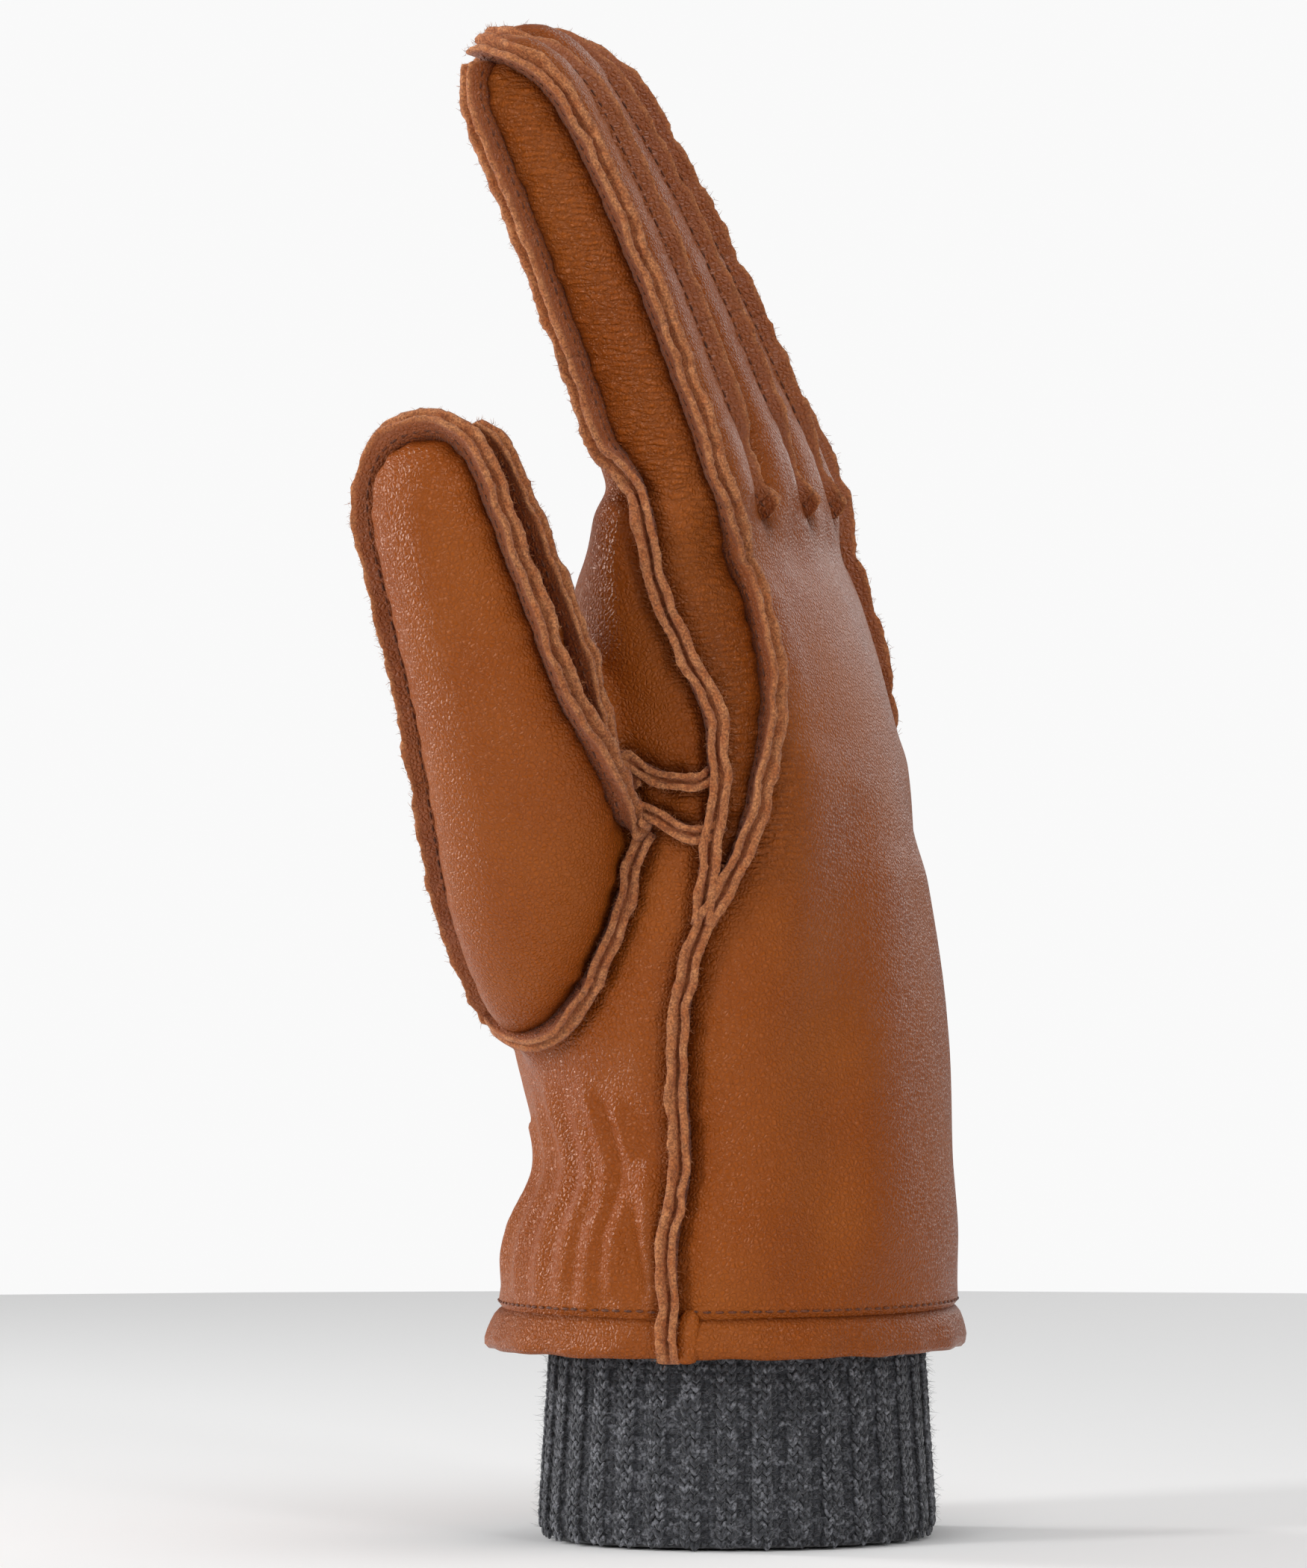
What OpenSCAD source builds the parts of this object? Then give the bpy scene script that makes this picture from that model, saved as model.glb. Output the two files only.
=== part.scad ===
// Right-hand leather glove with raw-edge seams on the outside, a knitted liner and a ribbed cuff.
// Frame: +Z runs from the wrist to the fingertips, +X to the back of the hand, -Y to the thumb.
// The origin is the centre of the cuff's mouth. Round angles are 0 at the back and 90 at the thumb side.

/* [Layers] */
// Thickness of the leather
leather_t = 1.1; // [0.8:0.05:1.4]
// Thickness of the knitted liner
liner_t = 1.2; // [0.8:0.05:1.6]
// Room between the leather and the liner, for the elastic and the touch pads
layer_gap = 1.0; // [0.8:0.05:1.4]
// Height of the raw seam edges above the leather
seam_edge = 3.2; // [2:0.1:4.5]
// Clearance between two sewn edges
seam_gap = 0.36; // [0.24:0.02:0.44]
// Clearance between layers that lie on each other
lining_gap = 0.3; // [0.2:0.02:0.4]

/* [Wrist] */
// Length of knitted cuff that shows below the hem
cuff_drop = 34; // [24:1:50]
// Depth of the cuff from palm to back
cuff_depth = 64; // [58:1:72]
// Width of the cuff from thumb side to little finger side
cuff_width = 73; // [66:1:80]
// Wall of the ribbed cuff
cuff_wall = 2.6; // [2:0.1:4]
// Number of ribs round the cuff
cuff_ribs = 44; // [24:2:60]
// Room between the cuff and the outside of the leather at the hem
hem_room = 9; // [6:0.5:14]
// Height of the turned hem
hem_height = 7; // [5:0.5:10]
// Depth of the leather where the elastic draws it in
wrist_depth = 73; // [72:1:82]
// Width of the elastic band
elastic_width = 9; // [6:0.5:12]

/* [Hand] */
// Height of the finger roots above the hem
hand_length = 151; // [126:1:182]
// Width across the palm
palm_width = 98; // [90:1:118]
// Depth of the palm at its middle
palm_depth = 60; // [54:1:68]

/* [Fingers] */
// Width of a finger stall
finger_width = 22.4; // [18:0.2:27]
// Gap between two finger stalls
finger_gap = 1.2; // [0.8:0.1:3]
// Depth of a finger stall from the palm side to the back
finger_depth = 22.6; // [20:0.5:26]
// Length of the index finger stall
index_length = 86; // [72:1:96]
// Length of the middle finger stall
middle_length = 91; // [78:1:104]
// Length of the ring finger stall
ring_length = 91; // [74:1:100]
// Length of the little finger stall
little_length = 68; // [58:1:80]
// Gap in the leather at each knuckle crease, which lets the stalls bend
crease_gap = 4.2; // [3.6:0.1:5.2]

/* [Thumb] */
// Width of the thumb stall
thumb_width = 31; // [26:0.5:36]
// Depth of the thumb stall
thumb_depth = 29; // [25:0.5:33]
// Length of the thumb stall
thumb_length = 119; // [100:1:143]

/* [Hidden] */
$fn = 48;
FINGERS = ["index", "middle", "ring", "little"];
FINGER_PIECES = ["back", "palm", "fourchettes", "liner"];
THUMB_PIECES = ["front", "back", "fourchette", "liner"];
FINGER_PARTS = ["base", "tip"];
THUMB_PARTS = ["ball", "base", "tip"];

LEATHER = [0.63, 0.29, 0.10];
SUEDE = [0.72, 0.38, 0.18];
WOOL = [0.24, 0.24, 0.26];
ELASTIC = [0.85, 0.82, 0.76];
PAD = [0.45, 0.45, 0.48];

// --- Numbers -------------------------------------------------------------------------------------

function clamp(v, low, high) = min(max(v, low), high);
function mix(a, b, t) = a + (b - a) * t;
function ramp(t) = let (c = clamp(t, 0, 1)) c * c * (3 - 2 * c);
function power(v, p) = sign(v) * pow(abs(v), p);

// A smooth curve through the rows of a table: column 0 is the place, column c the value.
function row_at(table, x, i = 0) = i >= len(table) - 2 || x < table[i + 1][0] ? i : row_at(table, x, i + 1);
function slope(table, c, i) =
    let (a = max(i - 1, 0), b = min(i + 1, len(table) - 1))
    (table[b][c] - table[a][c]) / (table[b][0] - table[a][0]);
function curve(table, c, x) =
    let (
        i = row_at(table, x),
        h = table[i + 1][0] - table[i][0],
        t = clamp((x - table[i][0]) / h, 0, 1),
        m0 = slope(table, c, i) * h,
        m1 = slope(table, c, i + 1) * h
    )
    (2 * t * t * t - 3 * t * t + 1) * table[i][c] + (t * t * t - 2 * t * t + t) * m0
    + (3 * t * t - 2 * t * t * t) * table[i + 1][c] + (t * t * t - t * t) * m1;

// --- Solids from rings ----------------------------------------------------------------------------

// A ring is a list of [outer point, inner point] pairs. Both solids below take a list of such rings.
function flat_points(rings) = [for (ring = rings) for (pair = ring) for (p = pair) p];
function quad(a, b, c, d) = [[a, b, c], [a, c, d]];
function joined(lists) = [for (l = lists) for (x = l) x];

// An open strip with thickness, such as one leather panel.
module strip(rings) {
    m = len(rings[0]);
    last = len(rings) - 1;
    function o(j, i) = (j * m + i) * 2;
    function n(j, i) = (j * m + i) * 2 + 1;
    skin = joined([for (j = [0:last - 1]) for (i = [0:m - 2]) concat(
        quad(o(j, i), o(j, i + 1), o(j + 1, i + 1), o(j + 1, i)),
        quad(n(j, i), n(j + 1, i), n(j + 1, i + 1), n(j, i + 1)))]);
    edges = joined([for (j = [0:last - 1]) concat(
        quad(o(j, 0), o(j + 1, 0), n(j + 1, 0), n(j, 0)),
        quad(o(j + 1, m - 1), o(j, m - 1), n(j, m - 1), n(j + 1, m - 1)))]);
    ends = joined([for (i = [0:m - 2]) concat(
        quad(o(0, i + 1), o(0, i), n(0, i), n(0, i + 1)),
        quad(o(last, i), o(last, i + 1), n(last, i + 1), n(last, i)))]);
    polyhedron(flat_points(rings), concat(skin, edges, ends), convexity = 8);
}

// A closed tube with a wall. With capped, its last ring is closed over, outside and inside.
module tube(rings, capped = false) {
    m = len(rings[0]);
    last = len(rings) - 1;
    function o(j, i) = (j * m + i % m) * 2;
    function n(j, i) = (j * m + i % m) * 2 + 1;
    skin = joined([for (j = [0:last - 1]) for (i = [0:m - 1]) concat(
        quad(o(j, i), o(j, i + 1), o(j + 1, i + 1), o(j + 1, i)),
        quad(n(j, i), n(j + 1, i), n(j + 1, i + 1), n(j, i + 1)))]);
    mouth = joined([for (i = [0:m - 1]) quad(o(0, i + 1), o(0, i), n(0, i), n(0, i + 1))]);
    end = capped
        ? concat([[for (i = [0:m - 1]) o(last, i)]], [[for (i = [m - 1:-1:0]) n(last, i)]])
        : joined([for (i = [0:m - 1]) quad(o(last, i), o(last, i + 1), n(last, i + 1), n(last, i))]);
    polyhedron(flat_points(rings), concat(skin, mouth, end), convexity = 8);
}

// A solid core without a hollow, from rings of single points.
module core(rings) {
    m = len(rings[0]);
    last = len(rings) - 1;
    function o(j, i) = j * m + i % m;
    skin = joined([for (j = [0:last - 1]) for (i = [0:m - 1])
        quad(o(j, i), o(j, i + 1), o(j + 1, i + 1), o(j + 1, i))]);
    bottom = [[for (i = [m - 1:-1:0]) o(0, i)]];
    top = [[for (i = [0:m - 1]) o(last, i)]];
    polyhedron(joined(rings), concat(skin, bottom, top), convexity = 6);
}

// --- Hand -----------------------------------------------------------------------------------------

// What lies between the leather and the liner reaches from the first of these depths to the second.
under_leather = leather_t + lining_gap;
over_liner = leather_t + layer_gap - lining_gap;

hem_z = cuff_drop;
stitch_z = hem_z + hem_height;
root_z = hem_z + hand_length;
function height(share) = hem_z + share * hand_length;
wrist_z = height(0.22);
quirk_z = height(0.633);
gusset_tail_z = height(0.497);
crease_half = crease_gap / 2;
hand_top_z = root_z - crease_half;

hem_depth = cuff_depth + 2 * hem_room;
hem_width = cuff_width + 2 * hem_room;
finger_pitch = finger_width + finger_gap;
// The hand's top edge stands off the row of finger roots by this much.
root_room = 1.9;
root_depth = finger_depth + 3 * root_room;
root_width = 4 * finger_width + 3 * finger_gap + 2 * root_room - 0.8;

// Rows of height, middle in X, half depth, half width and squareness of the leather's outer surface.
HAND = [
    [hem_z, -2.0, hem_depth / 2 + 1, hem_width / 2 + 1, 2.1],
    [stitch_z, -1.6, hem_depth / 2 - 0.6, hem_width / 2 - 0.6, 2.1],
    [height(0.14), -0.8, hem_depth / 2 - 1.4, hem_width / 2 - 2, 2.1],
    [wrist_z, 1.0, wrist_depth / 2, hem_width / 2 - 4, 2.1],
    [height(0.36), -1.6, wrist_depth / 2 + 1, hem_width / 2 - 2, 2.1],
    [height(0.515), -1.4, palm_depth / 2 + 3.4, palm_width / 2 - 2.4, 2.15],
    [height(0.64), -1.2, palm_depth / 2 - 0.4, palm_width / 2 - 0.8, 2.2],
    [height(0.775), -1.2, palm_depth / 2 - 5.4, palm_width / 2, 2.3],
    [height(0.88), -2.6, mix(palm_depth, root_depth, 0.62) / 2, palm_width / 2 - 0.4, 2.6],
    [height(0.935), -2.4, mix(palm_depth, root_depth, 0.9) / 2, mix(palm_width, root_width, 0.5) / 2, 2.9],
    [root_z, -0.8, root_depth / 2, root_width / 2, 3.4]];

// The row of knuckles arches: its two sides lie this far nearer to the palm than its middle.
knuckle_arch = 3.4;
function arch(z) = knuckle_arch * ramp((z - height(0.56)) / (root_z - height(0.56)));

// Round angles of the seams of the side gusset: its edge to the back panel and its edge to the palm.
SEAMS = [
    [hem_z, 87, 87],
    [height(0.205), 89, 89],
    [height(0.385), 83, 83],
    [gusset_tail_z, 76, 76.6],
    [height(0.57), 64, 76],
    [height(0.67), 53, 71],
    [height(0.77), 44, 68],
    [height(0.88), 35, 84],
    [root_z, 33, 106]];
function back_seam(z) = curve(SEAMS, 1, z);
function palm_seam(z) = curve(SEAMS, 2, z);

function hand_point(z, a, off) =
    let (n = 2 / curve(HAND, 4, z), side = power(sin(a), n))
    [curve(HAND, 1, z) + (curve(HAND, 2, z) + off) * power(cos(a), n) - arch(z) * side * side,
     -(curve(HAND, 3, z) + off) * side, z];
function hand_radius(z) = (curve(HAND, 2, z) + curve(HAND, 3, z)) / 2;
function degrees_of(length, radius) = length / radius * 180 / PI;

// One ring of a hand panel from angle a0 to a1, with its edges turned out by the seam heights e0 and e1.
function hand_ring(z, a0, a1, steps, e0, e1) =
    let (
        edge = degrees_of(leather_t, hand_radius(z)),
        gap = degrees_of(seam_gap / 2, hand_radius(z)),
        b0 = a0 + gap,
        b1 = a1 - gap
    )
    concat(
        [[hand_point(z, b0 + edge, e0), hand_point(z, b0, e0)]],
        [for (i = [0:steps])
            let (t = i / steps)
            [hand_point(z, mix(b0 + edge, b1 - edge, t), 0), hand_point(z, mix(b0, b1, t), -leather_t)]],
        [[hand_point(z, b1 - edge, e1), hand_point(z, b1, e1)]]);

// Heights of the rings of a hand panel.
HAND_RINGS = concat([hem_z, stitch_z, height(0.13), wrist_z, height(0.3), height(0.385), gusset_tail_z],
    [height(0.57), quirk_z, height(0.715), height(0.795), height(0.86)],
    [height(0.91), height(0.95), hand_top_z]);
// A point of the hand between two of those rings, where the panels run straight from one to the next.
function ring_below(z, i = 0) = i >= len(HAND_RINGS) - 2 || z < HAND_RINGS[i + 1] ? i : ring_below(z, i + 1);
function inside_point(z, a, off) =
    let (i = ring_below(z), low = HAND_RINGS[i], high = HAND_RINGS[i + 1], t = (z - low) / (high - low))
    mix(hand_point(low, a, off), hand_point(high, a, off), t);
function seam_height(z, low, high) =
    max(0.3, seam_edge * min(ramp((z - low + 1) / 5), ramp((high - z + 0.6) / 6)));

module back_panel() {
    color(LEATHER) strip([for (z = HAND_RINGS)
        let (e = seam_height(z, stitch_z, hand_top_z))
        hand_ring(z, -back_seam(z), back_seam(z), 14, e, e)]);
}

quirk_half = 4.4;
quirk_a0 = 76;
quirk_a1 = 106;

module palm_panel() {
    color(LEATHER) difference() {
        strip([for (z = HAND_RINGS)
            let (e = seam_height(z, stitch_z, hand_top_z))
            hand_ring(z, palm_seam(z), 360 - palm_seam(z), 20, e, e)]);
        thumb_core(0.5, 14);
        wedge(quirk_z - quirk_half - seam_gap, quirk_z + quirk_half + seam_gap, quirk_a0 - 0.4, quirk_a1 + 2);
    }
}

// A block across the hand's wall between two heights and two angles.
module wedge(z0, z1, a0, a1) {
    core([for (z = [z0, z1]) concat(
        [for (i = [0:4]) hand_point(z, mix(a0, a1, i / 4), 8)],
        [for (i = [4:-1:0]) hand_point(z, mix(a0, a1, i / 4), -6)])]);
}

// The small patch between the thumb and the index finger.
module thumb_quirk() {
    color(LEATHER) difference() {
        strip([for (z = [quirk_z - quirk_half, quirk_z, quirk_z + quirk_half])
            [for (i = [0:5])
                let (a = mix(quirk_a0, quirk_a1, i / 5))
                [hand_point(z, a, 0), hand_point(z, a, -leather_t)]]]);
        thumb_core(0.5, 14);
    }
}

module side_gusset(side) {
    heights = [for (z = HAND_RINGS) if (z > gusset_tail_z + 1) z];
    mirror([0, side < 0 ? 1 : 0, 0]) color(LEATHER) strip([for (z = heights)
        let (e = seam_height(z, gusset_tail_z + 6, hand_top_z))
        hand_ring(z, back_seam(z), palm_seam(z), 6, e, e)]);
}

// The plate of leather between the finger roots, where the fourchettes of two fingers meet.
web_thickness = 2.4;
module finger_webs() {
    inset = leather_t + 2 * lining_gap;
    z1 = hand_top_z - 0.6;
    z0 = z1 - web_thickness;
    color(LEATHER) difference() {
        core([for (z = [z0, z1]) [for (i = [0:35]) inside_point(z, i * 10, -inset)]]);
        for (f = [0:3])
            translate([finger_root(f)[0], finger_root(f)[1], z0 - 1])
                linear_extrude(web_thickness + 2) polygon([for (i = [0:35])
                    [(finger_half_depth(f) - inset - layer_gap) * cos(i * 10),
                     (finger_half_width(f) - inset) * sin(i * 10)]]);
    }
}

module hem_facing() {
    color(LEATHER) tube([for (z = [hem_z + 0.4, stitch_z, stitch_z + 4])
        [for (i = [0:35])
            [inside_point(z, i * 10, -under_leather), inside_point(z, i * 10, -under_leather - leather_t)]]]);
}

// The thread that holds the hem, in two runs that stop at the raised side seams.
thread_d = 0.5;
module hem_thread() {
    stop = degrees_of(leather_t + 1.4, hand_radius(stitch_z));
    color(SUEDE) for (middle = [0, 180]) {
        reach = middle == 0 ? back_seam(stitch_z) : 180 - palm_seam(stitch_z);
        strip([for (z = [stitch_z - thread_d / 2, stitch_z + thread_d / 2])
            [for (i = [0:20])
                let (a = middle + mix(stop - reach, reach - stop, i / 20))
                [inside_point(z, a, thread_d + seam_gap), inside_point(z, a, seam_gap)]]]);
    }
}

module wrist_elastic() {
    color(ELASTIC) strip([for (z = [wrist_z - elastic_width / 2, wrist_z, wrist_z + elastic_width / 2])
        [for (i = [0:8])
            let (a = mix(125, 235, i / 8))
            [inside_point(z, a, -under_leather), inside_point(z, a, -over_liner)]]]);
}

cuff_top_z = stitch_z + 5;
liner_off = -leather_t - layer_gap;

// Outer surface of the liner: it narrows from the leather to the cuff at its lower end.
function liner_point(z, a, off) =
    let (
        t = ramp((z - cuff_top_z) / 20),
        inside = inside_point(z, a, liner_off + off),
        mouth = cuff_point(z, a, off)
    )
    [mix(mouth[0], inside[0], t), mix(mouth[1], inside[1], t), z];
function cuff_point(z, a, off) = [(cuff_depth / 2 + off) * cos(a), -(cuff_width / 2 + off) * sin(a), z];

module hand_liner() {
    heights = concat([cuff_top_z + 0.2, cuff_top_z + 7], [for (z = HAND_RINGS) if (z > wrist_z - 1) z]);
    color(WOOL) difference() {
        tube([for (h = heights)
            let (z = min(h, hand_top_z - web_thickness - 1))
            [for (i = [0:23]) [liner_point(z, i * 15, 0), liner_point(z, i * 15, -liner_t)]]]);
        thumb_core(0.4 - leather_t - layer_gap, 16);
    }
}

module rib_cuff() {
    bulge = 2.4;
    edge = 2.4;
    rib = 0.45;
    points = cuff_ribs * 2;
    color(WOOL) tube([for (t = [0, 0.06, 0.3, 0.6, 1])
        let (z = t * cuff_top_z, soft = bulge * (1 - t) - (t == 0 ? edge : 0))
        [for (i = [0:points - 1])
            let (a = i * 360 / points)
            [cuff_point(z, a, soft + (i % 2 == 0 ? rib : -rib)), cuff_point(z, a, -cuff_wall)]]]);
}

// --- Fingers --------------------------------------------------------------------------------------

// Rows: root X, length, lean at the root and curl over the length in degrees, share of width and depth.
STALLS = [
    [1.4, index_length, 18, 9, 1.0, 1.0],
    [1.0, middle_length, 19, 13, 1.0, 1.02],
    [0.6, ring_length, 22, 9, 0.97, 0.98],
    [0.2, little_length, 26, 8, 0.88, 0.88]];
MIDDLE_JOINT = 0.45;
DOME = 19;
function finger_root(f) =
    let (
        slack = (1 - STALLS[3][4]) * finger_width / 2,
        y = (f - 1.5) * finger_pitch - (f == 3 ? slack : 0),
        side = y / (root_width / 2)
    )
    [STALLS[f][0] - knuckle_arch * side * side, y, root_z];
function finger_length(f) = STALLS[f][1];
function finger_half_width(f) = finger_width / 2 * STALLS[f][4];
function finger_half_depth(f) = finger_depth / 2 * STALLS[f][5];
function lean_at(f, s) = STALLS[f][2] + STALLS[f][3] * s / finger_length(f);
function finger_middle(f, s) =
    let (
        r = finger_length(f) * 180 / PI / STALLS[f][3],
        a0 = STALLS[f][2],
        a = lean_at(f, s),
        c = finger_root(f)
    )
    [c[0] + r * (cos(a) - cos(a0)), c[1], c[2] + r * (sin(a) - sin(a0))];
// The sections of a stall are level at the root, like the hand's top edge, and square to it further up.
LEVEL_OUT = 14;
function tilt_at(f, s) = lean_at(f, s) * ramp(s / LEVEL_OUT);
// Share of the full section at s: a slow taper, then a dome over the tip.
function taper(length, s) = 1 - 0.16 * pow(clamp(s / length, 0, 1), 2);
function dome_share(length, s) =
    let (d = clamp((s - length + DOME) / DOME, 0, 0.9999)) sqrt(1 - pow(d, 2.2));
function stall_share(length, s) = taper(length, s) * dome_share(length, s);
function finger_point(f, s, a, off) =
    let (
        length = finger_length(f),
        share = stall_share(length, s),
        w = finger_half_width(f),
        d = finger_half_depth(f),
        fall = (stall_share(length, s + 0.05) - stall_share(length, s - 0.05)) / 0.1 * (w + d) / 2,
        tilt = atan(-fall),
        lean = tilt_at(f, s),
        n = 2 / 2.4,
        out = [cos(a), sin(a)],
        px = d * share * power(out[0], n) + off * cos(tilt) * out[0],
        py = w * share * power(out[1], n) + off * cos(tilt) * out[1],
        along = off * sin(tilt)
    )
    finger_middle(f, s) + [px * cos(lean) - along * sin(lean), -py, px * sin(lean) + along * cos(lean)];

// Round angles of a finger's four seams.
BACK_EDGE = 37;
PALM_EDGE = 143;

// One ring of a finger panel between two seam angles, with its edges turned out.
function finger_ring(f, s, a0, a1, e) =
    let (
        r = max(0.4, stall_share(finger_length(f), s) * finger_half_width(f)),
        span = a1 - a0,
        gap = min(degrees_of(seam_gap / 2, r), span * 0.1),
        edge = min(degrees_of(leather_t, r), span * 0.2),
        b0 = a0 + gap,
        b1 = a1 - gap,
        steps = 4
    )
    concat(
        [[finger_point(f, s, b0 + edge, e), finger_point(f, s, b0, e)]],
        [for (i = [0:steps])
            let (t = i / steps)
            [finger_point(f, s, mix(b0 + edge, b1 - edge, t), 0),
             finger_point(f, s, mix(b0, b1, t), -leather_t)]],
        [[finger_point(f, s, b1 - edge, e), finger_point(f, s, b1, e)]]);

// Distances along a stall of the rings of its base part and its tip part.
function joint_at(f) = finger_length(f) * MIDDLE_JOINT;
function base_places(f, low, high) = [for (t = [0, 0.14, 0.5, 0.86, 1]) mix(low, high, t)];
function tip_places(low, length) = concat(
    [for (t = [0, 0.16, 0.6]) mix(low, length - DOME, t)],
    [for (a = [0, 28, 50, 66, 76]) length - DOME * (1 - sin(a))]);
function places(f, part) = part == 0
    ? base_places(f, crease_half, joint_at(f) - crease_half)
    : tip_places(joint_at(f) + crease_half, finger_length(f));
function edge_height(s, low, high) =
    max(0.2, seam_edge * min(ramp((s - low) / 5), high > 0 ? ramp((high - s) / 5) : 1));
function finger_edges(f, part) = [for (s = places(f, part))
    part == 0
        ? edge_height(s, crease_half - 0.2, joint_at(f) - crease_half + 0.2)
        : edge_height(s, joint_at(f) + crease_half - 0.2, 0)];

module finger_panel(f, part, a0, a1) {
    at = places(f, part);
    edges = finger_edges(f, part);
    color(LEATHER) strip([for (i = [0:len(at) - 1]) finger_ring(f, at[i], a0, a1, edges[i])]);
}
module fourchettes(f, part) {
    finger_panel(f, part, BACK_EDGE, PALM_EDGE);
    finger_panel(f, part, -PALM_EDGE, -BACK_EDGE);
}
module finger_liner(f, part) {
    at = places(f, part);
    color(WOOL) tube([for (s = at) [for (i = [0:11])
        [finger_point(f, s, i * 30, liner_off), finger_point(f, s, i * 30, liner_off - liner_t)]]],
        part == 1);
}
module touch_pad(f) {
    at = [for (s = tip_places(joint_at(f), finger_length(f))) if (s > finger_length(f) - DOME - 4) s];
    color(PAD) strip([for (s = at) [for (i = [0:4])
        let (a = mix(152, 208, i / 4))
        [finger_point(f, s, a, -under_leather), finger_point(f, s, a, -over_liner)]]]);
}

// --- Thumb ----------------------------------------------------------------------------------------

// Rows: share of the length, middle line's distance inside the palm's surface in X and in Y and its share of
// the hand's length, share of width, share of depth.
THUMB = [
    [0.00, 1.0, 24, 0.364, 0.34, 0.46],
    [0.10, 3.0, 14, 0.437, 0.66, 0.74],
    [0.22, 4.8, 5, 0.530, 0.94, 0.94],
    [0.38, 5.6, -2, 0.642, 1.06, 1.00],
    [0.56, 3.4, -8, 0.775, 1.04, 0.98],
    [0.74, -2.0, -12, 0.907, 0.94, 0.92],
    [0.88, -6.4, -13, 1.000, 0.82, 0.84],
    [1.00, -10.4, -13, 1.076, 0.20, 0.22]];
// The heights above the crotch are right for a thumb stall of this share of the hand's length.
USUAL_THUMB = 0.788;
CROTCH = THUMB[3][3];
function thumb_height(t) =
    let (rise = curve(THUMB, 3, t) - CROTCH)
    height(CROTCH) + rise * (rise > 0 ? thumb_length / USUAL_THUMB : hand_length);
function thumb_middle(t) =
    [curve(THUMB, 1, t) - palm_depth / 2, curve(THUMB, 2, t) - palm_width / 2, thumb_height(t)];
function unit(v) = v / norm(v);
function thumb_along(t) = unit(thumb_middle(min(t + 0.02, 1)) - thumb_middle(max(t - 0.02, 0)));
FRONT = unit([0.1, -1, 0]);
function thumb_front_dir(t) = let (d = thumb_along(t)) unit(FRONT - d * (FRONT * d));
function thumb_left_dir(t) = cross(thumb_front_dir(t), thumb_along(t));
// The last part of the stall is a dome, so the shares there follow a circle.
function thumb_round(t) = t < 0.84 ? 1 : sqrt(max(0.004, 1 - pow((t - 0.84) / 0.162, 2.2)));
function thumb_share(t, c) = t < 0.84 ? curve(THUMB, c, t) : curve(THUMB, c, 0.84) * thumb_round(t);
// Round angles of the thumb are 0 at the front, where it faces away from the hand, and 90 on the palm's side.
function thumb_point(t, a, off) =
    let (
        w = thumb_width / 2,
        d = thumb_depth / 2,
        step = 0.004,
        fall = (thumb_share(t + step, 4) - thumb_share(t - step, 4)) * w / (2 * step * thumb_length),
        tilt = t > 0.8 ? atan(-fall) : 0,
        n = 2 / 2.2,
        px = d * thumb_share(t, 5) * power(cos(a), n) + off * cos(tilt) * cos(a),
        py = w * thumb_share(t, 4) * power(sin(a), n) + off * cos(tilt) * sin(a)
    )
    thumb_middle(t) + px * thumb_front_dir(t) + py * thumb_left_dir(t) + off * sin(tilt) * thumb_along(t);

SEAM_LEFT = 84;
SEAM_RIGHT = -40;
SEAM_INNER = -74;
// Places of the thumb's two creases, as shares of its length: level with the crotch, and half way up from it.
THUMB_JOINTS = [0.41, 0.68];
crease_share = crease_half / thumb_length;
// Places of the rings of the thumb's three parts: the ball on the hand, the base of the stall and its tip.
function thumb_places(part) =
    part == 0 ? [0.06, 0.14, 0.22, 0.31, THUMB_JOINTS[0] - crease_share]
    : part == 1 ? [for (u = [0, 0.2, 0.5, 0.8, 1])
        mix(THUMB_JOINTS[0] + crease_share, THUMB_JOINTS[1] - crease_share, u)]
    : concat([THUMB_JOINTS[1] + crease_share, 0.73, 0.79, 0.84],
        [for (a = [30, 50, 66, 78]) 0.84 + 0.16 * sin(a)]);
function thumb_edge(t) =
    let (near = min(abs(t - THUMB_JOINTS[0]), abs(t - THUMB_JOINTS[1])) * thumb_length)
    max(0.2, seam_edge * ramp((near - crease_half + 0.2) / 5));
function thumb_ring(t, a0, a1, e) =
    let (
        r = max(0.5, thumb_share(t, 5) * thumb_depth / 2),
        span = a1 - a0,
        gap = min(degrees_of(seam_gap / 2, r), span * 0.1),
        edge = min(degrees_of(leather_t, r), span * 0.2),
        b0 = a0 + gap,
        b1 = a1 - gap,
        steps = ceil(span / 20)
    )
    concat(
        [[thumb_point(t, b0 + edge, e), thumb_point(t, b0, e)]],
        [for (i = [0:steps])
            let (u = i / steps)
            [thumb_point(t, mix(b0 + edge, b1 - edge, u), 0), thumb_point(t, mix(b0, b1, u), -leather_t)]],
        [[thumb_point(t, b1 - edge, e), thumb_point(t, b1, e)]]);

// The thumb stall's outer shape as a solid, grown by off, that goes on into the hand by sink.
INTO_HAND = unit([0.55, 0.6, -0.58]);
module thumb_core(off, sink) {
    base = thumb_point_ring(0.04, off);
    shift = INTO_HAND * sink;
    core(concat([[for (p = base) p + shift]],
        [for (t = [0.04, 0.12, 0.22, 0.34, 0.45, 0.6]) thumb_point_ring(t, off)]));
}
function thumb_point_ring(t, off) = [for (i = [0:23]) thumb_point(t, i * 15, off)];

// The hand's outer shape as a solid, grown by off, which the thumb's lower edge is cut to.
module hand_core(off) {
    heights = [for (z = HAND_RINGS) if (z > height(0.2)) z];
    core([for (z = heights) [for (i = [0:35]) hand_point(z, i * 10, off)]]);
}
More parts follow.
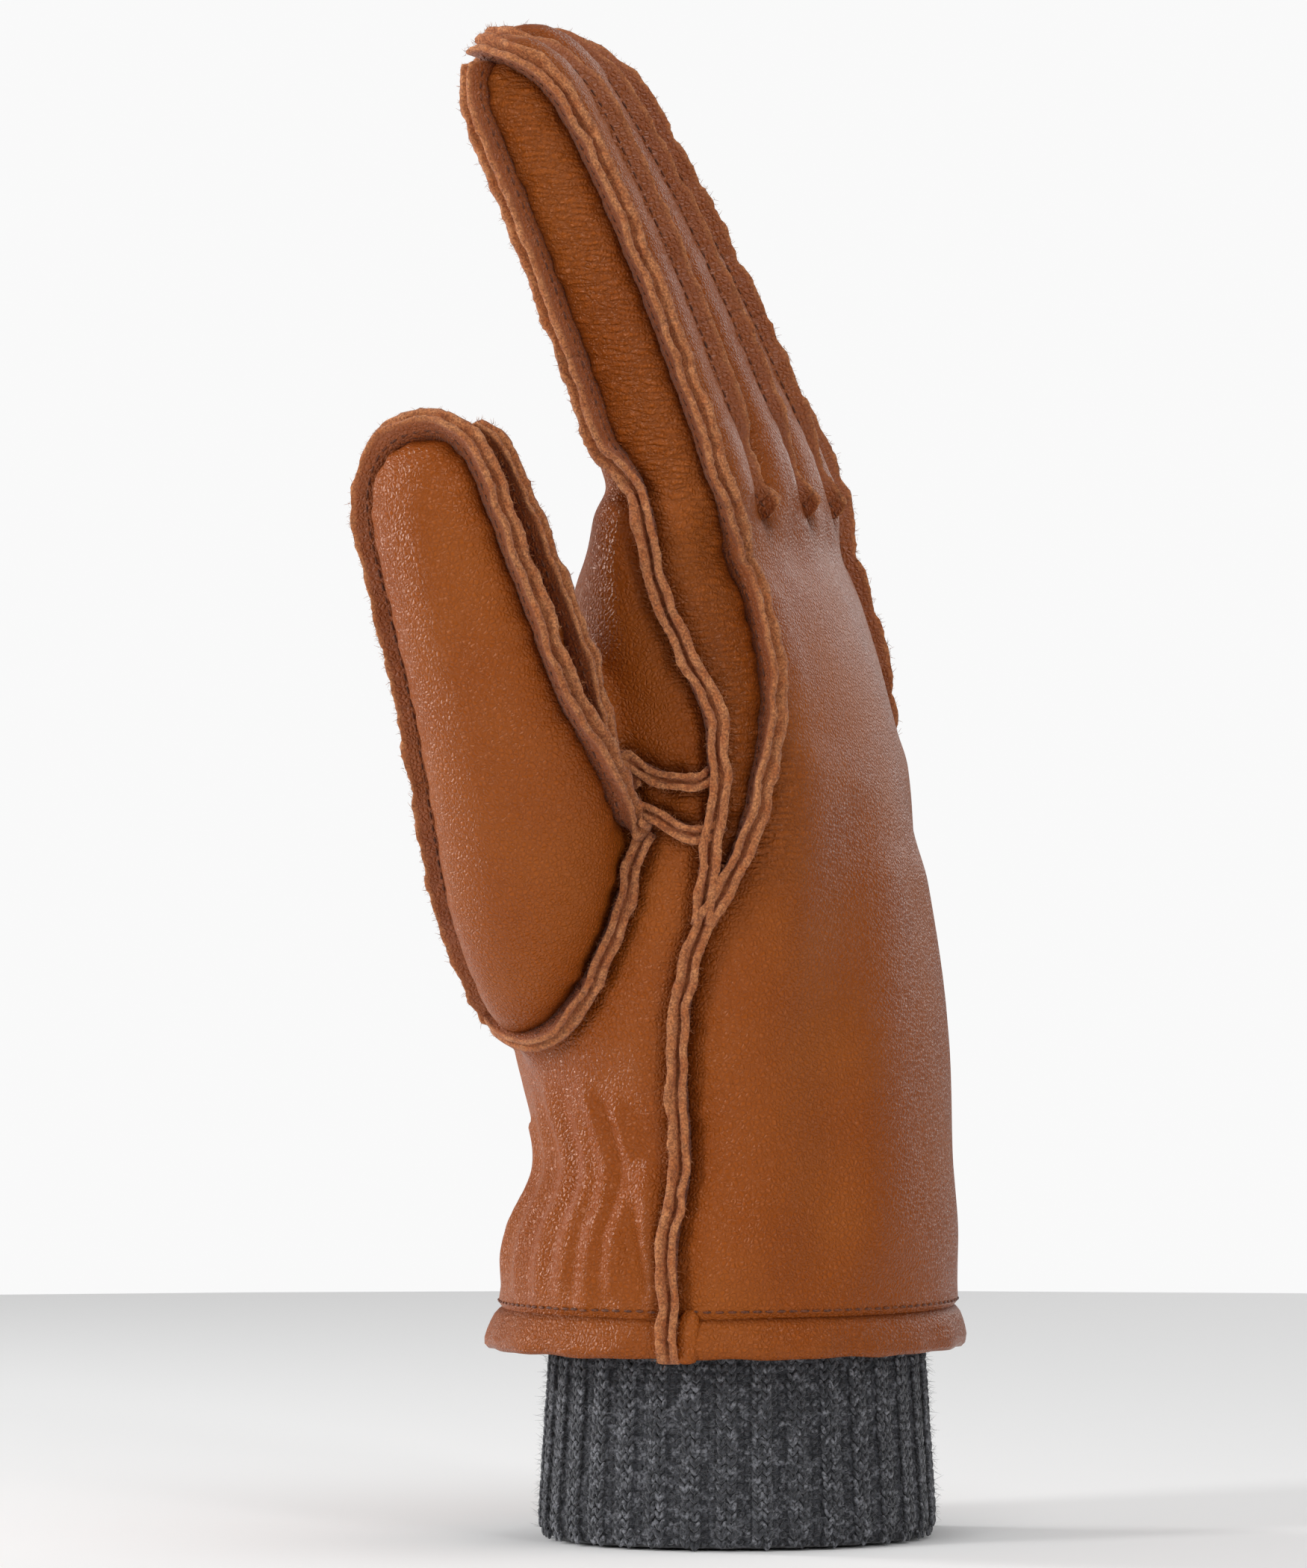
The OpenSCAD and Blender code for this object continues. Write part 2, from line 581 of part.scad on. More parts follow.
// Clearance between the thumb and the hand: small at the ball, which is sewn on, larger above it.
function thumb_clear(part) = part == 0 ? 0.3 : 1.4;
module thumb_panel(part, a0, a1) {
    color(LEATHER) difference() {
        strip([for (t = thumb_places(part)) thumb_ring(t, a0, a1, thumb_edge(t))]);
        if (part < 2) hand_core(thumb_clear(part));
    }
}
module thumb_liner(part) {
    color(WOOL) difference() {
        tube([for (t = thumb_places(part)) [for (i = [0:11])
            [thumb_point(t, i * 30, liner_off), thumb_point(t, i * 30, liner_off - liner_t)]]], part == 2);
        if (part < 2) hand_core(thumb_clear(part));
    }
}
module thumb_touch_pad() {
    at = [for (t = thumb_places(2)) if (t > 0.75) t];
    color(PAD) strip([for (t = at) [for (i = [0:4])
        let (a = mix(140, 220, i / 4))
        [thumb_point(t, a, -under_leather), thumb_point(t, a, -over_liner)]]]);
}

// --- Nodes ----------------------------------------------------------------------------------------

back_panel();
palm_panel();
side_gusset(1);  // index_side_gusset
side_gusset(-1);  // little_side_gusset
thumb_quirk();
finger_webs();
hem_facing();
hem_thread();
wrist_elastic();
hand_liner();
rib_cuff();
for (f = [0:3]) {
    name = FINGERS[f];
    finger_panel(f, 0, -BACK_EDGE, BACK_EDGE);
    finger_panel(f, 0, PALM_EDGE, 360 - PALM_EDGE);
    fourchettes(f, 0);
    finger_liner(f, 0);
    finger_panel(f, 1, -BACK_EDGE, BACK_EDGE);
    finger_panel(f, 1, PALM_EDGE, 360 - PALM_EDGE);
    fourchettes(f, 1);
    finger_liner(f, 1);
}
for (part = [0:2]) {
    end = THUMB_PARTS[part];
    thumb_panel(part, SEAM_RIGHT, SEAM_LEFT);
    thumb_panel(part, SEAM_LEFT, 360 + SEAM_INNER);
    thumb_panel(part, SEAM_INNER, SEAM_RIGHT);
    thumb_liner(part);
}
touch_pad(0);  // index_touch_pad
thumb_touch_pad();
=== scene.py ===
"""The looks of a leather glove with raised raw-edge seams and a ribbed knit cuff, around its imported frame."""

import math

import bmesh
import bpy
import numpy as np
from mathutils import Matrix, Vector
from mathutils.bvhtree import BVHTree
from mathutils.kdtree import KDTree


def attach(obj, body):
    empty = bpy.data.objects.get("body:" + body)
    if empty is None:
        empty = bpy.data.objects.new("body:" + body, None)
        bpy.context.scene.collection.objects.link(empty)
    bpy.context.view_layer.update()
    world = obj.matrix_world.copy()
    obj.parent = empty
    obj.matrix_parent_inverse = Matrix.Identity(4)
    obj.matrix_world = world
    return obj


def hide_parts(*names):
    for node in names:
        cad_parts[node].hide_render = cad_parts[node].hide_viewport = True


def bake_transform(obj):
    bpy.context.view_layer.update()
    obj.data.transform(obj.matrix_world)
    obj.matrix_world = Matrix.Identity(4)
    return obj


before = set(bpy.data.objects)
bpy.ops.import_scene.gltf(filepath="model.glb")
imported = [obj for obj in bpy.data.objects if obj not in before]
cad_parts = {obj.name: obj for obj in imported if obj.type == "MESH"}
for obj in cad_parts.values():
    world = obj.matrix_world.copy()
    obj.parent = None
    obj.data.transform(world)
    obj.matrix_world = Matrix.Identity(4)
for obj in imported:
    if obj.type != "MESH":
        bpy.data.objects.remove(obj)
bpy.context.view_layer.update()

# Sizes below are in millimetres, and meshes are scaled to metres as they are made. Angles are in degrees.
MM = 0.001
FINGERS = ["index", "middle", "ring", "little"]
# Depths under the skin of the leather's underside, the lining's two faces and the elastic's two faces.
LEATHER_T = 1.1
LINING = (-1.55, -2.6)
ELASTIC = (-1.15, -1.5)
# Steps along a seam between its rings, and between its stitches.
SEAM_PITCH = 0.77
STITCH_PITCH = 2.3


# --- Camera, floor and light -----------------------------------------------------------------------

VIEW_TURN = math.radians(15)
ACROSS = np.array([math.cos(VIEW_TURN), math.sin(VIEW_TURN), 0])
TOWARDS = np.array([math.sin(VIEW_TURN), -math.cos(VIEW_TURN), 0])


def set_camera():
    """A long lens, a little above the middle of the glove, turned to its thumb side."""
    distance, rise, seen_height, sensor = 2.4, math.radians(0.8), 2100 / 7.53, 36
    middle = Vector(ACROSS * -14.9 * MM) + Vector((0, 0, 133.7 * MM))
    data = bpy.data.cameras.new("camera")
    data.sensor_fit = "VERTICAL"
    data.sensor_height = sensor
    data.lens = sensor * distance / (seen_height * MM)
    camera = bpy.data.objects.new("camera", data)
    out = Vector(TOWARDS) * math.cos(rise) + Vector((0, 0, math.sin(rise)))
    camera.location = middle + out * distance
    camera.rotation_euler = out.to_track_quat("Z", "Y").to_euler()
    bpy.context.scene.collection.objects.link(camera)
    bpy.context.scene.camera = camera


def softbox(name, place, size, watts):
    """A large rectangular lamp that faces the middle of the glove."""
    data = bpy.data.lights.new(name, "AREA")
    data.shape = "RECTANGLE"
    data.size, data.size_y = size
    data.energy = watts
    lamp = bpy.data.objects.new(name, data)
    lamp.location = place
    aim = Vector(place) - Vector((0, 0, 0.14))
    lamp.rotation_euler = aim.to_track_quat("Z", "Y").to_euler()
    bpy.context.scene.collection.objects.link(lamp)


def set_studio():
    """A round pale floor before an even white ground, and large soft lamps. Sizes here are in metres."""
    corners, radius, floor_z = 64, 0.85, -0.0003
    turns = [2 * math.pi * i / corners for i in range(corners)]
    mesh = bpy.data.meshes.new("floor")
    mesh.from_pydata([(radius * math.cos(a), radius * math.sin(a), floor_z) for a in turns], [],
                     [tuple(range(corners))])
    floor = bpy.data.objects.new("floor", mesh)
    bpy.context.scene.collection.objects.link(floor)
    paper = bpy.data.materials.new("pale_paper")
    paper.use_nodes = True
    shader = paper.node_tree.nodes["Principled BSDF"]
    shader.inputs["Base Color"].default_value = (0.99, 0.99, 0.99, 1)
    shader.inputs["Roughness"].default_value = 1.0
    shader.inputs["Specular IOR Level"].default_value = 0.0
    mesh.materials.append(paper)
    world = bpy.data.worlds.new("studio")
    world.use_nodes = True
    tree = world.node_tree
    seen = add(tree, "ShaderNodeLightPath").outputs["Is Camera Ray"]
    bright = add(tree, "ShaderNodeMapRange", {"Value": seen, "To Min": 0.26, "To Max": 0.95})
    tree.nodes["Background"].inputs["Color"].default_value = (1, 1, 1, 1)
    tree.links.new(bright.outputs["Result"], tree.nodes["Background"].inputs["Strength"])
    bpy.context.scene.world = world
    for name, place, size, watts in (
            ("key", (-0.7, -0.9, 0.6), (0.22, 0.6), 5.2), ("left", (-1.0, 0.12, 0.3), (0.14, 0.8), 6.2),
            ("side", (0.8, -0.9, 0.4), (0.14, 0.9), 3.0), ("top", (0.1, -0.2, 1.0), (0.4, 0.4), 2.6),
            ("back", (0.4, 1.1, 0.6), (1.0, 0.8), 3.2)):
        softbox(name, place, size, watts)
    bpy.context.scene.view_settings.view_transform = "Standard"


# --- Shape of the glove -----------------------------------------------------------------------------

# Rows of height, middle in X, half depth, half width and squareness of the hand.
HAND = np.array([
    [34, -2.0, 42, 46.5, 2.1], [41, -1.6, 40.4, 44.9, 2.1], [55.1, -0.8, 39.6, 43.5, 2.1],
    [67.2, 1.0, 36.5, 41.5, 2.1], [88.4, -1.6, 37.5, 43.5, 2.1], [111.8, -1.4, 33.4, 46.6, 2.15],
    [130.6, -1.2, 29.6, 48.2, 2.2], [151, -1.2, 24.6, 49, 2.3], [166.9, -2.6, 20.2, 48.6, 2.6],
    [175.2, -2.4, 15.7, 48.5, 2.9], [185, -0.8, 14.15, 48.1, 3.4]])
# Rows of height and round angle of the hand's two long seams: to the back panel and to the palm panel.
BACK_SEAM = np.array([[34, 88], [65, 90], [92, 86], [109, 80], [120, 69], [135, 58], [150, 48], [160, 45],
                      [167, 43], [176, 44], [182, 48], [185, 50]])
PALM_SEAM = np.array([[34, 88], [65, 90], [92, 86], [109, 79], [125, 76], [132, 72], [142, 71], [146, 70],
                      [151, 73], [162, 80], [173, 85], [180, 88], [185, 94]])
HEM_Z = 34.0
# Height of the line where the leather meets its turned hem.
HEM_TOP = 40.2
HAND_TOP = 183.5
ROOT_Z = 185.0
# How far the hand's sides lie towards the palm at the knuckles.
ARCH = 3.4
HAND_EDGE = 48.1
# Distance between fingers, and half the width and depth of one.
FINGER_PITCH = 23.6
HALF_WIDTH, HALF_DEPTH = 10.75, 11.3
# Length of a finger's rounded tip, and the share of its length where it bends.
TIP_LENGTH = 17
BEND_SHARE = 0.45
# Powers of the round forms of a finger and of the thumb: 1 is an ellipse, less is squarer.
FINGER_ROUND, THUMB_ROUND = 2 / 2.4, 2 / 2.2
# Rows of root X, length, lean, curl, share of width and share of depth of the four fingers.
STALLS = np.array([[1.4, 86, 18, 9, 1, 1], [1.0, 91, 19, 13, 1, 1.02], [0.6, 91, 22, 9, 0.97, 0.98],
                   [0.2, 68, 26, 8, 0.88, 0.88]])
# Rows of share of length, middle X, Y, Z, share of width and share of depth of the thumb.
THUMB = np.array([
    [0, -29, -25, 89, 0.34, 0.46], [0.1, -27, -35, 100, 0.66, 0.74], [0.22, -25.2, -44, 114, 0.94, 0.94],
    [0.38, -24.4, -51, 131, 1.06, 1], [0.56, -26.6, -57, 151, 1.04, 0.98], [0.74, -32, -61, 171, 0.94, 0.92],
    [0.88, -36.4, -62, 185, 0.82, 0.84], [1, -40.4, -62, 196.5, 0.2, 0.22]])
# Shares of the thumb's length where its ball ends, where it bends, and where its tip starts to round.
THUMB_CUTS = (0.43, 0.565)
THUMB_DOME = 0.84


def ramp(t):
    """A soft step from 0 to 1."""
    t = np.clip(t, 0, 1)
    return t * t * (3 - 2 * t)


def power(v, p):
    """A power of a number's size that keeps its sign."""
    return np.sign(v) * np.abs(v) ** p


def unit(v):
    return v / np.maximum(np.linalg.norm(v, axis=-1, keepdims=True), 1e-9)


def curve(table, c, x):
    """A smooth curve through the rows of a table: column 0 gives the place, column c the value."""
    k, v = table[:, 0], table[:, c]
    low, high = np.maximum(np.arange(len(k)) - 1, 0), np.minimum(np.arange(len(k)) + 1, len(k) - 1)
    slope = (v[high] - v[low]) / (k[high] - k[low])
    x = np.asarray(x, float)
    i = np.clip(np.searchsorted(k, x, side="right") - 1, 0, len(k) - 2)
    h = k[i + 1] - k[i]
    t = np.clip((x - k[i]) / h, 0, 1)
    return ((2 * t**3 - 3 * t**2 + 1) * v[i] + (t**3 - 2 * t**2 + t) * slope[i] * h
            + (3 * t**2 - 2 * t**3) * v[i + 1] + (t**3 - t**2) * slope[i + 1] * h)


def arch(z, side_squared):
    """How far the hand bows back towards the palm at a height, from its middle to its sides."""
    return ARCH * ramp((z - 118.6) / 66.4) * side_squared


def root_arch(y):
    """How far the knuckles bow back towards the palm at a distance from the middle."""
    return ARCH * (y / HAND_EDGE) ** 2


def hand_point(z, a, off=0.0):
    """A point of the hand's surface, or off outside it, at a height and round angle, 0 at its back."""
    z, a = np.broadcast_arrays(np.asarray(z, float), np.radians(np.asarray(a, float)))
    n = 2 / curve(HAND, 4, z)
    side = power(np.sin(a), n)
    return np.stack([curve(HAND, 1, z) + (curve(HAND, 2, z) + off) * power(np.cos(a), n) - arch(z, side**2),
                     -(curve(HAND, 3, z) + off) * side, z], -1)


def finger_root(f):
    """Middle of a finger where it leaves the hand."""
    y = (f - 1.5) * FINGER_PITCH - (1.34 if f == 3 else 0)
    return np.array([STALLS[f, 0] - root_arch(y), y, ROOT_Z])


def finger_point(f, s, a):
    """A point of a finger's surface at the distance s along it and the round angle a, 0 at its back."""
    s, a = np.broadcast_arrays(np.asarray(s, float), np.radians(np.asarray(a, float)))
    length, lean0, curl, wide, deep = STALLS[f, 1:]
    radius = length / math.radians(curl)
    turn = np.radians(lean0 + curl * np.maximum(s, 0) / length)
    start = math.radians(lean0)
    root = finger_root(f)
    x = root[0] + radius * (np.cos(turn) - math.cos(start))
    z = root[2] + radius * (np.sin(turn) - math.sin(start)) + np.minimum(s, 0)
    dome = np.sqrt(1 - np.clip((s - length + TIP_LENGTH) / TIP_LENGTH, 0, 0.9999) ** 2.3)
    share = (1 - 0.16 * np.clip(s / length, 0, 1) ** 2) * dome
    d = HALF_DEPTH * deep * share * (1 + 0.1 * (1 - ramp(s / 18)))
    w = HALF_WIDTH * wide * share
    tilt = turn * ramp(s / 14)
    px, py = d * power(np.cos(a), FINGER_ROUND), w * power(np.sin(a), FINGER_ROUND)
    return np.stack([x + px * np.cos(tilt), root[1] - py, z + px * np.sin(tilt)], -1)


def thumb_frame(t):
    """Middle of the thumb at a share of its length, and its directions along, frontwards and leftwards."""
    middle, ahead, behind = (np.stack([curve(THUMB, c, share) for c in (1, 2, 3)], -1)
                             for share in (t, np.minimum(t + 0.02, 1), np.maximum(t - 0.02, 0)))
    along = unit(ahead - behind)
    front = unit(np.array([0.1, -1.0, 0]))
    front = unit(front - along * (along @ front)[..., None])
    return middle, along, front, np.cross(front, along)


def thumb_sizes(t):
    """Half width and half depth of the thumb."""
    t = np.asarray(t, float)
    dome = np.sqrt(np.clip(1 - np.clip((t - THUMB_DOME) / 0.162, 0, 1) ** 2.2, 0.004, 1))
    flat = np.minimum(t, THUMB_DOME)
    return 15.5 * curve(THUMB, 4, flat) * dome, 14.5 * curve(THUMB, 5, flat) * dome


def thumb_point(t, a):
    """A point of the thumb's surface at the share t of its length and the round angle a, 0 at its front."""
    t, a = np.broadcast_arrays(np.asarray(t, float), np.radians(np.asarray(a, float)))
    middle, _, front, left = thumb_frame(t)
    w, d = thumb_sizes(t)
    return (middle + (d * power(np.cos(a), THUMB_ROUND))[..., None] * front
            + (w * power(np.sin(a), THUMB_ROUND))[..., None] * left)


# --- Meshes ---------------------------------------------------------------------------------------

def new_object(name, points, faces, normals=None):
    """An object with a smooth mesh, from points in millimetres."""
    mesh = bpy.data.meshes.new(name)
    mesh.from_pydata((np.asarray(points) * MM).tolist(), [], [list(f) for f in faces])
    mesh.polygons.foreach_set("use_smooth", [True] * len(mesh.polygons))
    if normals is not None:
        mesh.normals_split_custom_set_from_vertices(normals.tolist())
    piece = bpy.data.objects.new(name, mesh)
    bpy.context.scene.collection.objects.link(piece)
    return piece


def give(piece, name, values):
    """Stores numbers, or vectors, on the points of a piece."""
    values = np.asarray(values, np.float32)
    kind, key = ("FLOAT_VECTOR", "vector") if values.ndim == 2 else ("FLOAT", "value")
    piece.data.attributes.new(name, kind, "POINT").data.foreach_set(key, values.ravel())


def ring_faces(count, around):
    """Quads between count rings of points that lie one after another."""
    j, i = np.meshgrid(np.arange(count - 1), np.arange(around), indexing="ij")
    k = (i + 1) % around
    return np.stack([j * around + i, j * around + k, (j + 1) * around + k, (j + 1) * around + i], -1
                    ).reshape(-1, 4).tolist()


def closed_tube(rings):
    """Points and faces of a tube closed at both ends, from an array of rings."""
    count, around = rings.shape[:2]
    ends = [list(range(around))[::-1], [(count - 1) * around + i for i in range(around)]]
    return rings.reshape(-1, 3), ring_faces(count, around) + ends


def closed_band(name, rings):
    """A piece from an array of rings that go once around its section, the last joined to the first."""
    count, around = rings.shape[:2]
    last = (count - 1) * around
    join = [(last + i, last + (i + 1) % around, (i + 1) % around, i) for i in range(around)]
    piece = new_object(name, rings.reshape(-1, 3), ring_faces(count, around) + join)
    face_outwards(piece)
    return piece


def joined(tubes):
    """Points and faces of many closed tubes as one mesh."""
    points, faces, count = [], [], 0
    for tube in tubes:
        p, f = closed_tube(tube)
        points.append(p)
        faces += [[i + count for i in face] for face in f]
        count += len(p)
    return np.concatenate(points), faces


def plain_mesh(piece):
    """The mesh that a piece's modifiers make; the piece itself is deleted."""
    mesh = bpy.data.meshes.new_from_object(piece.evaluated_get(bpy.context.evaluated_depsgraph_get()))
    bpy.data.objects.remove(piece)
    return mesh


def grown_skin():
    """Points and quads of the hand, fingers and thumb melted into one closed skin."""
    turns = np.arange(96) * 3.75
    heights = np.concatenate([np.arange(29, 181, 3.0), [182, 183.4, 184.2]])
    sink = np.zeros(len(heights))
    sink[-2:] = [-0.7, -2.6]
    tubes = [np.stack([hand_point(z, turns, o) for z, o in zip(heights, sink)])]
    turns = np.arange(48) * 7.5
    for f in range(4):
        length = STALLS[f, 1]
        tip = np.sin(np.radians([15, 30, 43, 55, 65, 74, 81, 86, 89.4]))
        places = np.concatenate([[-13, -6, 0, 3, 6, 10, 14, 18], np.linspace(24, length - TIP_LENGTH, 10),
                                 length - TIP_LENGTH + TIP_LENGTH * tip])
        tube = np.stack([finger_point(f, s, -turns) for s in places])
        middle = tube.mean(1, keepdims=True)
        tubes.append(middle + (tube - middle) * (1 + 0.028 * np.minimum(places, 0))[:, None, None])
    tip = np.sin(np.radians([15, 30, 45, 58, 70, 80, 87]))
    places = np.concatenate([np.linspace(0.03, THUMB_DOME, 26), THUMB_DOME + 0.16 * tip])
    thumb = np.stack([thumb_point(t, turns) for t in places])
    into_hand = unit(np.array([0.55, 0.6, -0.58])) * 9
    tubes.append(np.concatenate([thumb[:1] + into_hand, thumb]))
    block = new_object("skin_block", *joined(tubes))
    face_outwards(block)
    melt = block.modifiers.new("melt", "REMESH")
    melt.mode = "VOXEL"
    melt.voxel_size = 0.98 * MM
    melt.use_smooth_shade = True
    melted = plain_mesh(block)
    co = np.zeros(len(melted.vertices) * 3, np.float32)
    melted.vertices.foreach_get("co", co)
    quads = np.zeros(len(melted.loops), np.int32)
    melted.loops.foreach_get("vertex_index", quads)
    assert len(quads) == 4 * len(melted.polygons)
    bpy.data.meshes.remove(melted)
    return co.reshape(-1, 3).astype(float) / MM, quads.reshape(-1, 4)


def face_outwards(piece):
    """Turns every shell of a mesh so that its faces point outwards."""
    work = bmesh.new()
    work.from_mesh(piece.data)
    bmesh.ops.recalc_face_normals(work, faces=work.faces)
    work.to_mesh(piece.data)
    work.free()


def edges_of(quads):
    """The pairs of points that share an edge, each pair once."""
    pairs = np.concatenate([quads[:, pair] for pair in ([0, 1], [1, 2], [2, 3], [3, 0])])
    return np.unique(np.sort(pairs, 1), axis=0)


def neighbour_mean(values, edges):
    """Mean of the values at each point's neighbours."""
    total = np.stack([np.bincount(edges[:, 0], values[edges[:, 1], c], len(values))
                      + np.bincount(edges[:, 1], values[edges[:, 0], c], len(values))
                      for c in range(values.shape[1])], -1)
    return total / np.maximum(np.bincount(edges.ravel(), minlength=len(values)), 1)[:, None]


def smoothed(points, edges, share, rounds, back=-0.53):
    """Smooths points where share is above 0. With back at 0 it melts; just past -0.5 it keeps the volume."""
    points = points.copy()
    for _ in range(rounds):
        for k in (0.5, back):
            if k:
                points += (neighbour_mean(points, edges) - points) * (k * share)[:, None]
    return points


def point_normals(points, quads):
    a, b, c, d = (points[quads[:, i]] for i in range(4))
    n = np.cross(c - a, d - b)
    total = np.stack([np.bincount(quads.ravel(), np.repeat(n[:, i], 4), len(points)) for i in range(3)], -1)
    return unit(total)


# --- Where each point of the skin lies ------------------------------------------------------------

def hand_places(p):
    """Round angle on the hand, and distance outside it."""
    z = np.clip(p[:, 2], HEM_Z, ROOT_Z)
    half = curve(HAND, 4, z) / 2
    side = -p[:, 1] / curve(HAND, 3, z)
    out = (p[:, 0] - curve(HAND, 1, z) + arch(z, np.minimum(side**2, 1))) / curve(HAND, 2, z)
    a = np.degrees(np.arctan2(power(side, half), power(out, half)))
    size = (np.abs(out) ** (2 * half) + np.abs(side) ** (2 * half)) ** (1 / (2 * half))
    return a, (size - 1) * np.minimum(curve(HAND, 2, z), curve(HAND, 3, z))


def finger_places(p):
    """Nearest finger of each point, and its distance along it and round angle on it."""
    f = np.clip(np.round(p[:, 1] / FINGER_PITCH + 1.5), 0, 3).astype(int)
    roots = np.array([finger_root(i) for i in range(4)])[f]
    length, lean, curl, wide, deep = STALLS[f, 1:].T
    start = np.radians(lean)
    radius = length / np.radians(curl)
    cx, cz = roots[:, 0] - radius * np.cos(start), ROOT_Z - radius * np.sin(start)
    turn = np.arctan2(p[:, 2] - cz, p[:, 0] - cx)
    s = (turn - start) / np.radians(curl) * length
    out = np.hypot(p[:, 2] - cz, p[:, 0] - cx) - radius
    a = np.degrees(np.arctan2(-(p[:, 1] - roots[:, 1]) / (HALF_WIDTH * wide), out / (HALF_DEPTH * deep)))
    return f, s, a


def thumb_places(p):
    """Share of the thumb's length, round angle on it and distance outside it."""
    shares = np.linspace(0, 1, 240)
    middle, _, front, left = thumb_frame(shares)
    far_off = 99.0
    t, a, d = np.zeros(len(p)), np.zeros(len(p)), np.full(len(p), far_off)
    near = np.where((p[:, 1] < 6) & (p[:, 0] < 12) & (p[:, 2] > 74))[0]
    for part in np.array_split(near, 12):
        gap = ((p[part, None] - middle[None]) ** 2).sum(-1)
        k = gap.argmin(1)
        v = p[part] - middle[k]
        w, h = thumb_sizes(np.minimum(shares[k], 0.9))
        x, y = (v * front[k]).sum(-1), (v * left[k]).sum(-1)
        t[part], a[part] = shares[k], np.degrees(np.arctan2(y / w, x / h))
        d[part] = (np.hypot(x / h, y / w) - 1) * np.minimum(w, h)
    return t, a, d


# --- Seams ------------------------------------------------------------------------------------------

def resample(points, step=SEAM_PITCH):
    """Points at even steps along a path."""
    points = np.asarray(points, float)
    gone = np.concatenate([[0], np.cumsum(np.linalg.norm(np.diff(points, axis=0), axis=1))])
    count = max(int(round(gone[-1] / step)), 3)
    at = np.linspace(0, gone[-1], count + 1)
    return np.stack([np.interp(at, gone, points[:, c]) for c in range(3)], -1)


def eased(points, rounds):
    """A path with its corners rounded, and its two ends kept."""
    points = points.copy()
    for _ in range(rounds):
        points[1:-1] += (points[:-2] + points[2:] - 2 * points[1:-1]) * 0.3
    return points


def side_point(tree, across, up):
    """The point of the skin seen from the thumb side at this distance across and up, if there is one."""
    start = ACROSS * across + TOWARDS * 200 + np.array([0, 0, up])
    hit = tree.ray_cast(Vector(start), Vector(-TOWARDS))[0]
    return np.array(hit) if hit else None


# The free sides of the index and little fingers: 1 is the thumb side and -1 the other.
OUTER_SIDES = ((0, 1), (3, -1))


def side_angles(f, side):
    """Round angles of a finger's two seams on one side: to its back piece and to its palm piece."""
    if (f, side) in OUTER_SIDES:
        return 47, 131
    return (50, 143) if side == 1 else (34, 143)


def finger_paths(f):
    """The seams of one finger: round its back piece, on each side of its palm piece, and down a free side."""
    name, length = FINGERS[f], STALLS[f, 1]
    heights = np.arange(112, 182, 3.0)
    up = np.arange(12, length - 20, 5.0)
    paths, halves = {}, {}
    for side in (1, -1):
        edge, under = side_angles(f, side)
        if (f, side) in OUTER_SIDES:
            back_root, palm_root = (
                [hand_point(109.5, side * 79.6)] + [hand_point(z, side * curve(table, 1, z)) for z in heights]
                + [finger_point(f, 5, side * a)] for table, a in ((BACK_SEAM, 50), (PALM_SEAM, 114)))
            paths[name + "_side"] = [hand_point(z, side * curve(BACK_SEAM, 1, z))
                                     for z in np.arange(113, 30.5, -2.5)]
        elif side == 1:
            back_root, palm_root = [finger_point(f, 6, 66)], [finger_point(f, 6, 118)]
        else:
            y = finger_root(f)[1] + FINGER_PITCH / 2
            back_root = [np.array([13.6 - root_arch(y), y, 181.4]), finger_point(f, 6, -52)]
            palm_root = [np.array([-15.4 - root_arch(y), y, 182.0]), finger_point(f, 6, -120)]
        over = [(length - 15, edge + 3), (length - 9, edge + 12), (length - 5, edge + 28), (length - 2.6, 88),
                (length - 1.4, 118)]
        halves[side] = back_root + [finger_point(f, s, side * a) for s, a in [(s, edge) for s in up] + over]
        palm = [(s, under) for s in up] + [(length - 14, under), (length - 8, 138), (length - 4.4, 134),
                                           (length - 2.4, 124)]
        paths[f"{name}_palm_{'a' if side == 1 else 'b'}"] = palm_root + [
            finger_point(f, s, side * a) for s, a in palm]
    paths[name + "_back_u"] = halves[1] + [finger_point(f, length - 1.2, 180)] + halves[-1][::-1]
    return paths


def seam_paths(tree):
    """Every seam of the glove as a path on its skin."""
    paths = {}
    for f in range(4):
        paths.update(finger_paths(f))
    root = [(-3.4, -48, 126), (-12.3, -42, 110), (-19, -37, 102.5), (-27, -33.5, 95.5), (-34, -30, 91.5),
            (-38, -24, 94), (-39.5, -17, 99), (-36, -11, 108), (-30, -15, 125), (-22, -32, 135),
            (-9, -46, 133)]
    paths["thumb_root"] = eased(resample(root, 3), 5)
    over = [(0.92, 86), (0.965, 80), (0.985, 60), (0.99, 20), (0.985, -20), (0.96, -38), (0.92, -41)]
    front = ([(t, 88) for t in np.arange(0.03, 0.88, 0.05)] + over
             + [(t, -40) for t in np.arange(0.87, 0.58, -0.05)] + [(0.55, -43)])
    inner = [(t, -67) for t in np.arange(0.44, 0.9, 0.05)] + [(0.93, -65), (0.965, -58)]
    # Across and up, as seen from the thumb side.
    seen = {"crotch": [(-25.5, 141), (-23.2, 136.3), (-21.8, 132.4), (-20.4, 128.6), (-18, 127),
                       (-15.6, 126)],
            "quirk_upper": [(-21.4, 139), (-16, 136.6), (-11, 134.6), (-6.4, 133.9), (-4.6, 136.5)],
            "quirk_lower": [(-20.4, 131), (-15, 129.4), (-10.6, 126.6), (-5.9, 124.9), (-2.8, 127.6)]}
    hits = {name: [side_point(tree, u, z) for u, z in places] for name, places in seen.items()}
    hits = {name: [p for p in found if p is not None] for name, found in hits.items()}
    paths["thumb_front_u"] = [thumb_point(t, a) for t, a in front] + hits.pop("crotch")
    paths["thumb_inner"] = [thumb_point(t, a) for t, a in inner]
    paths.update(hits)
    return paths


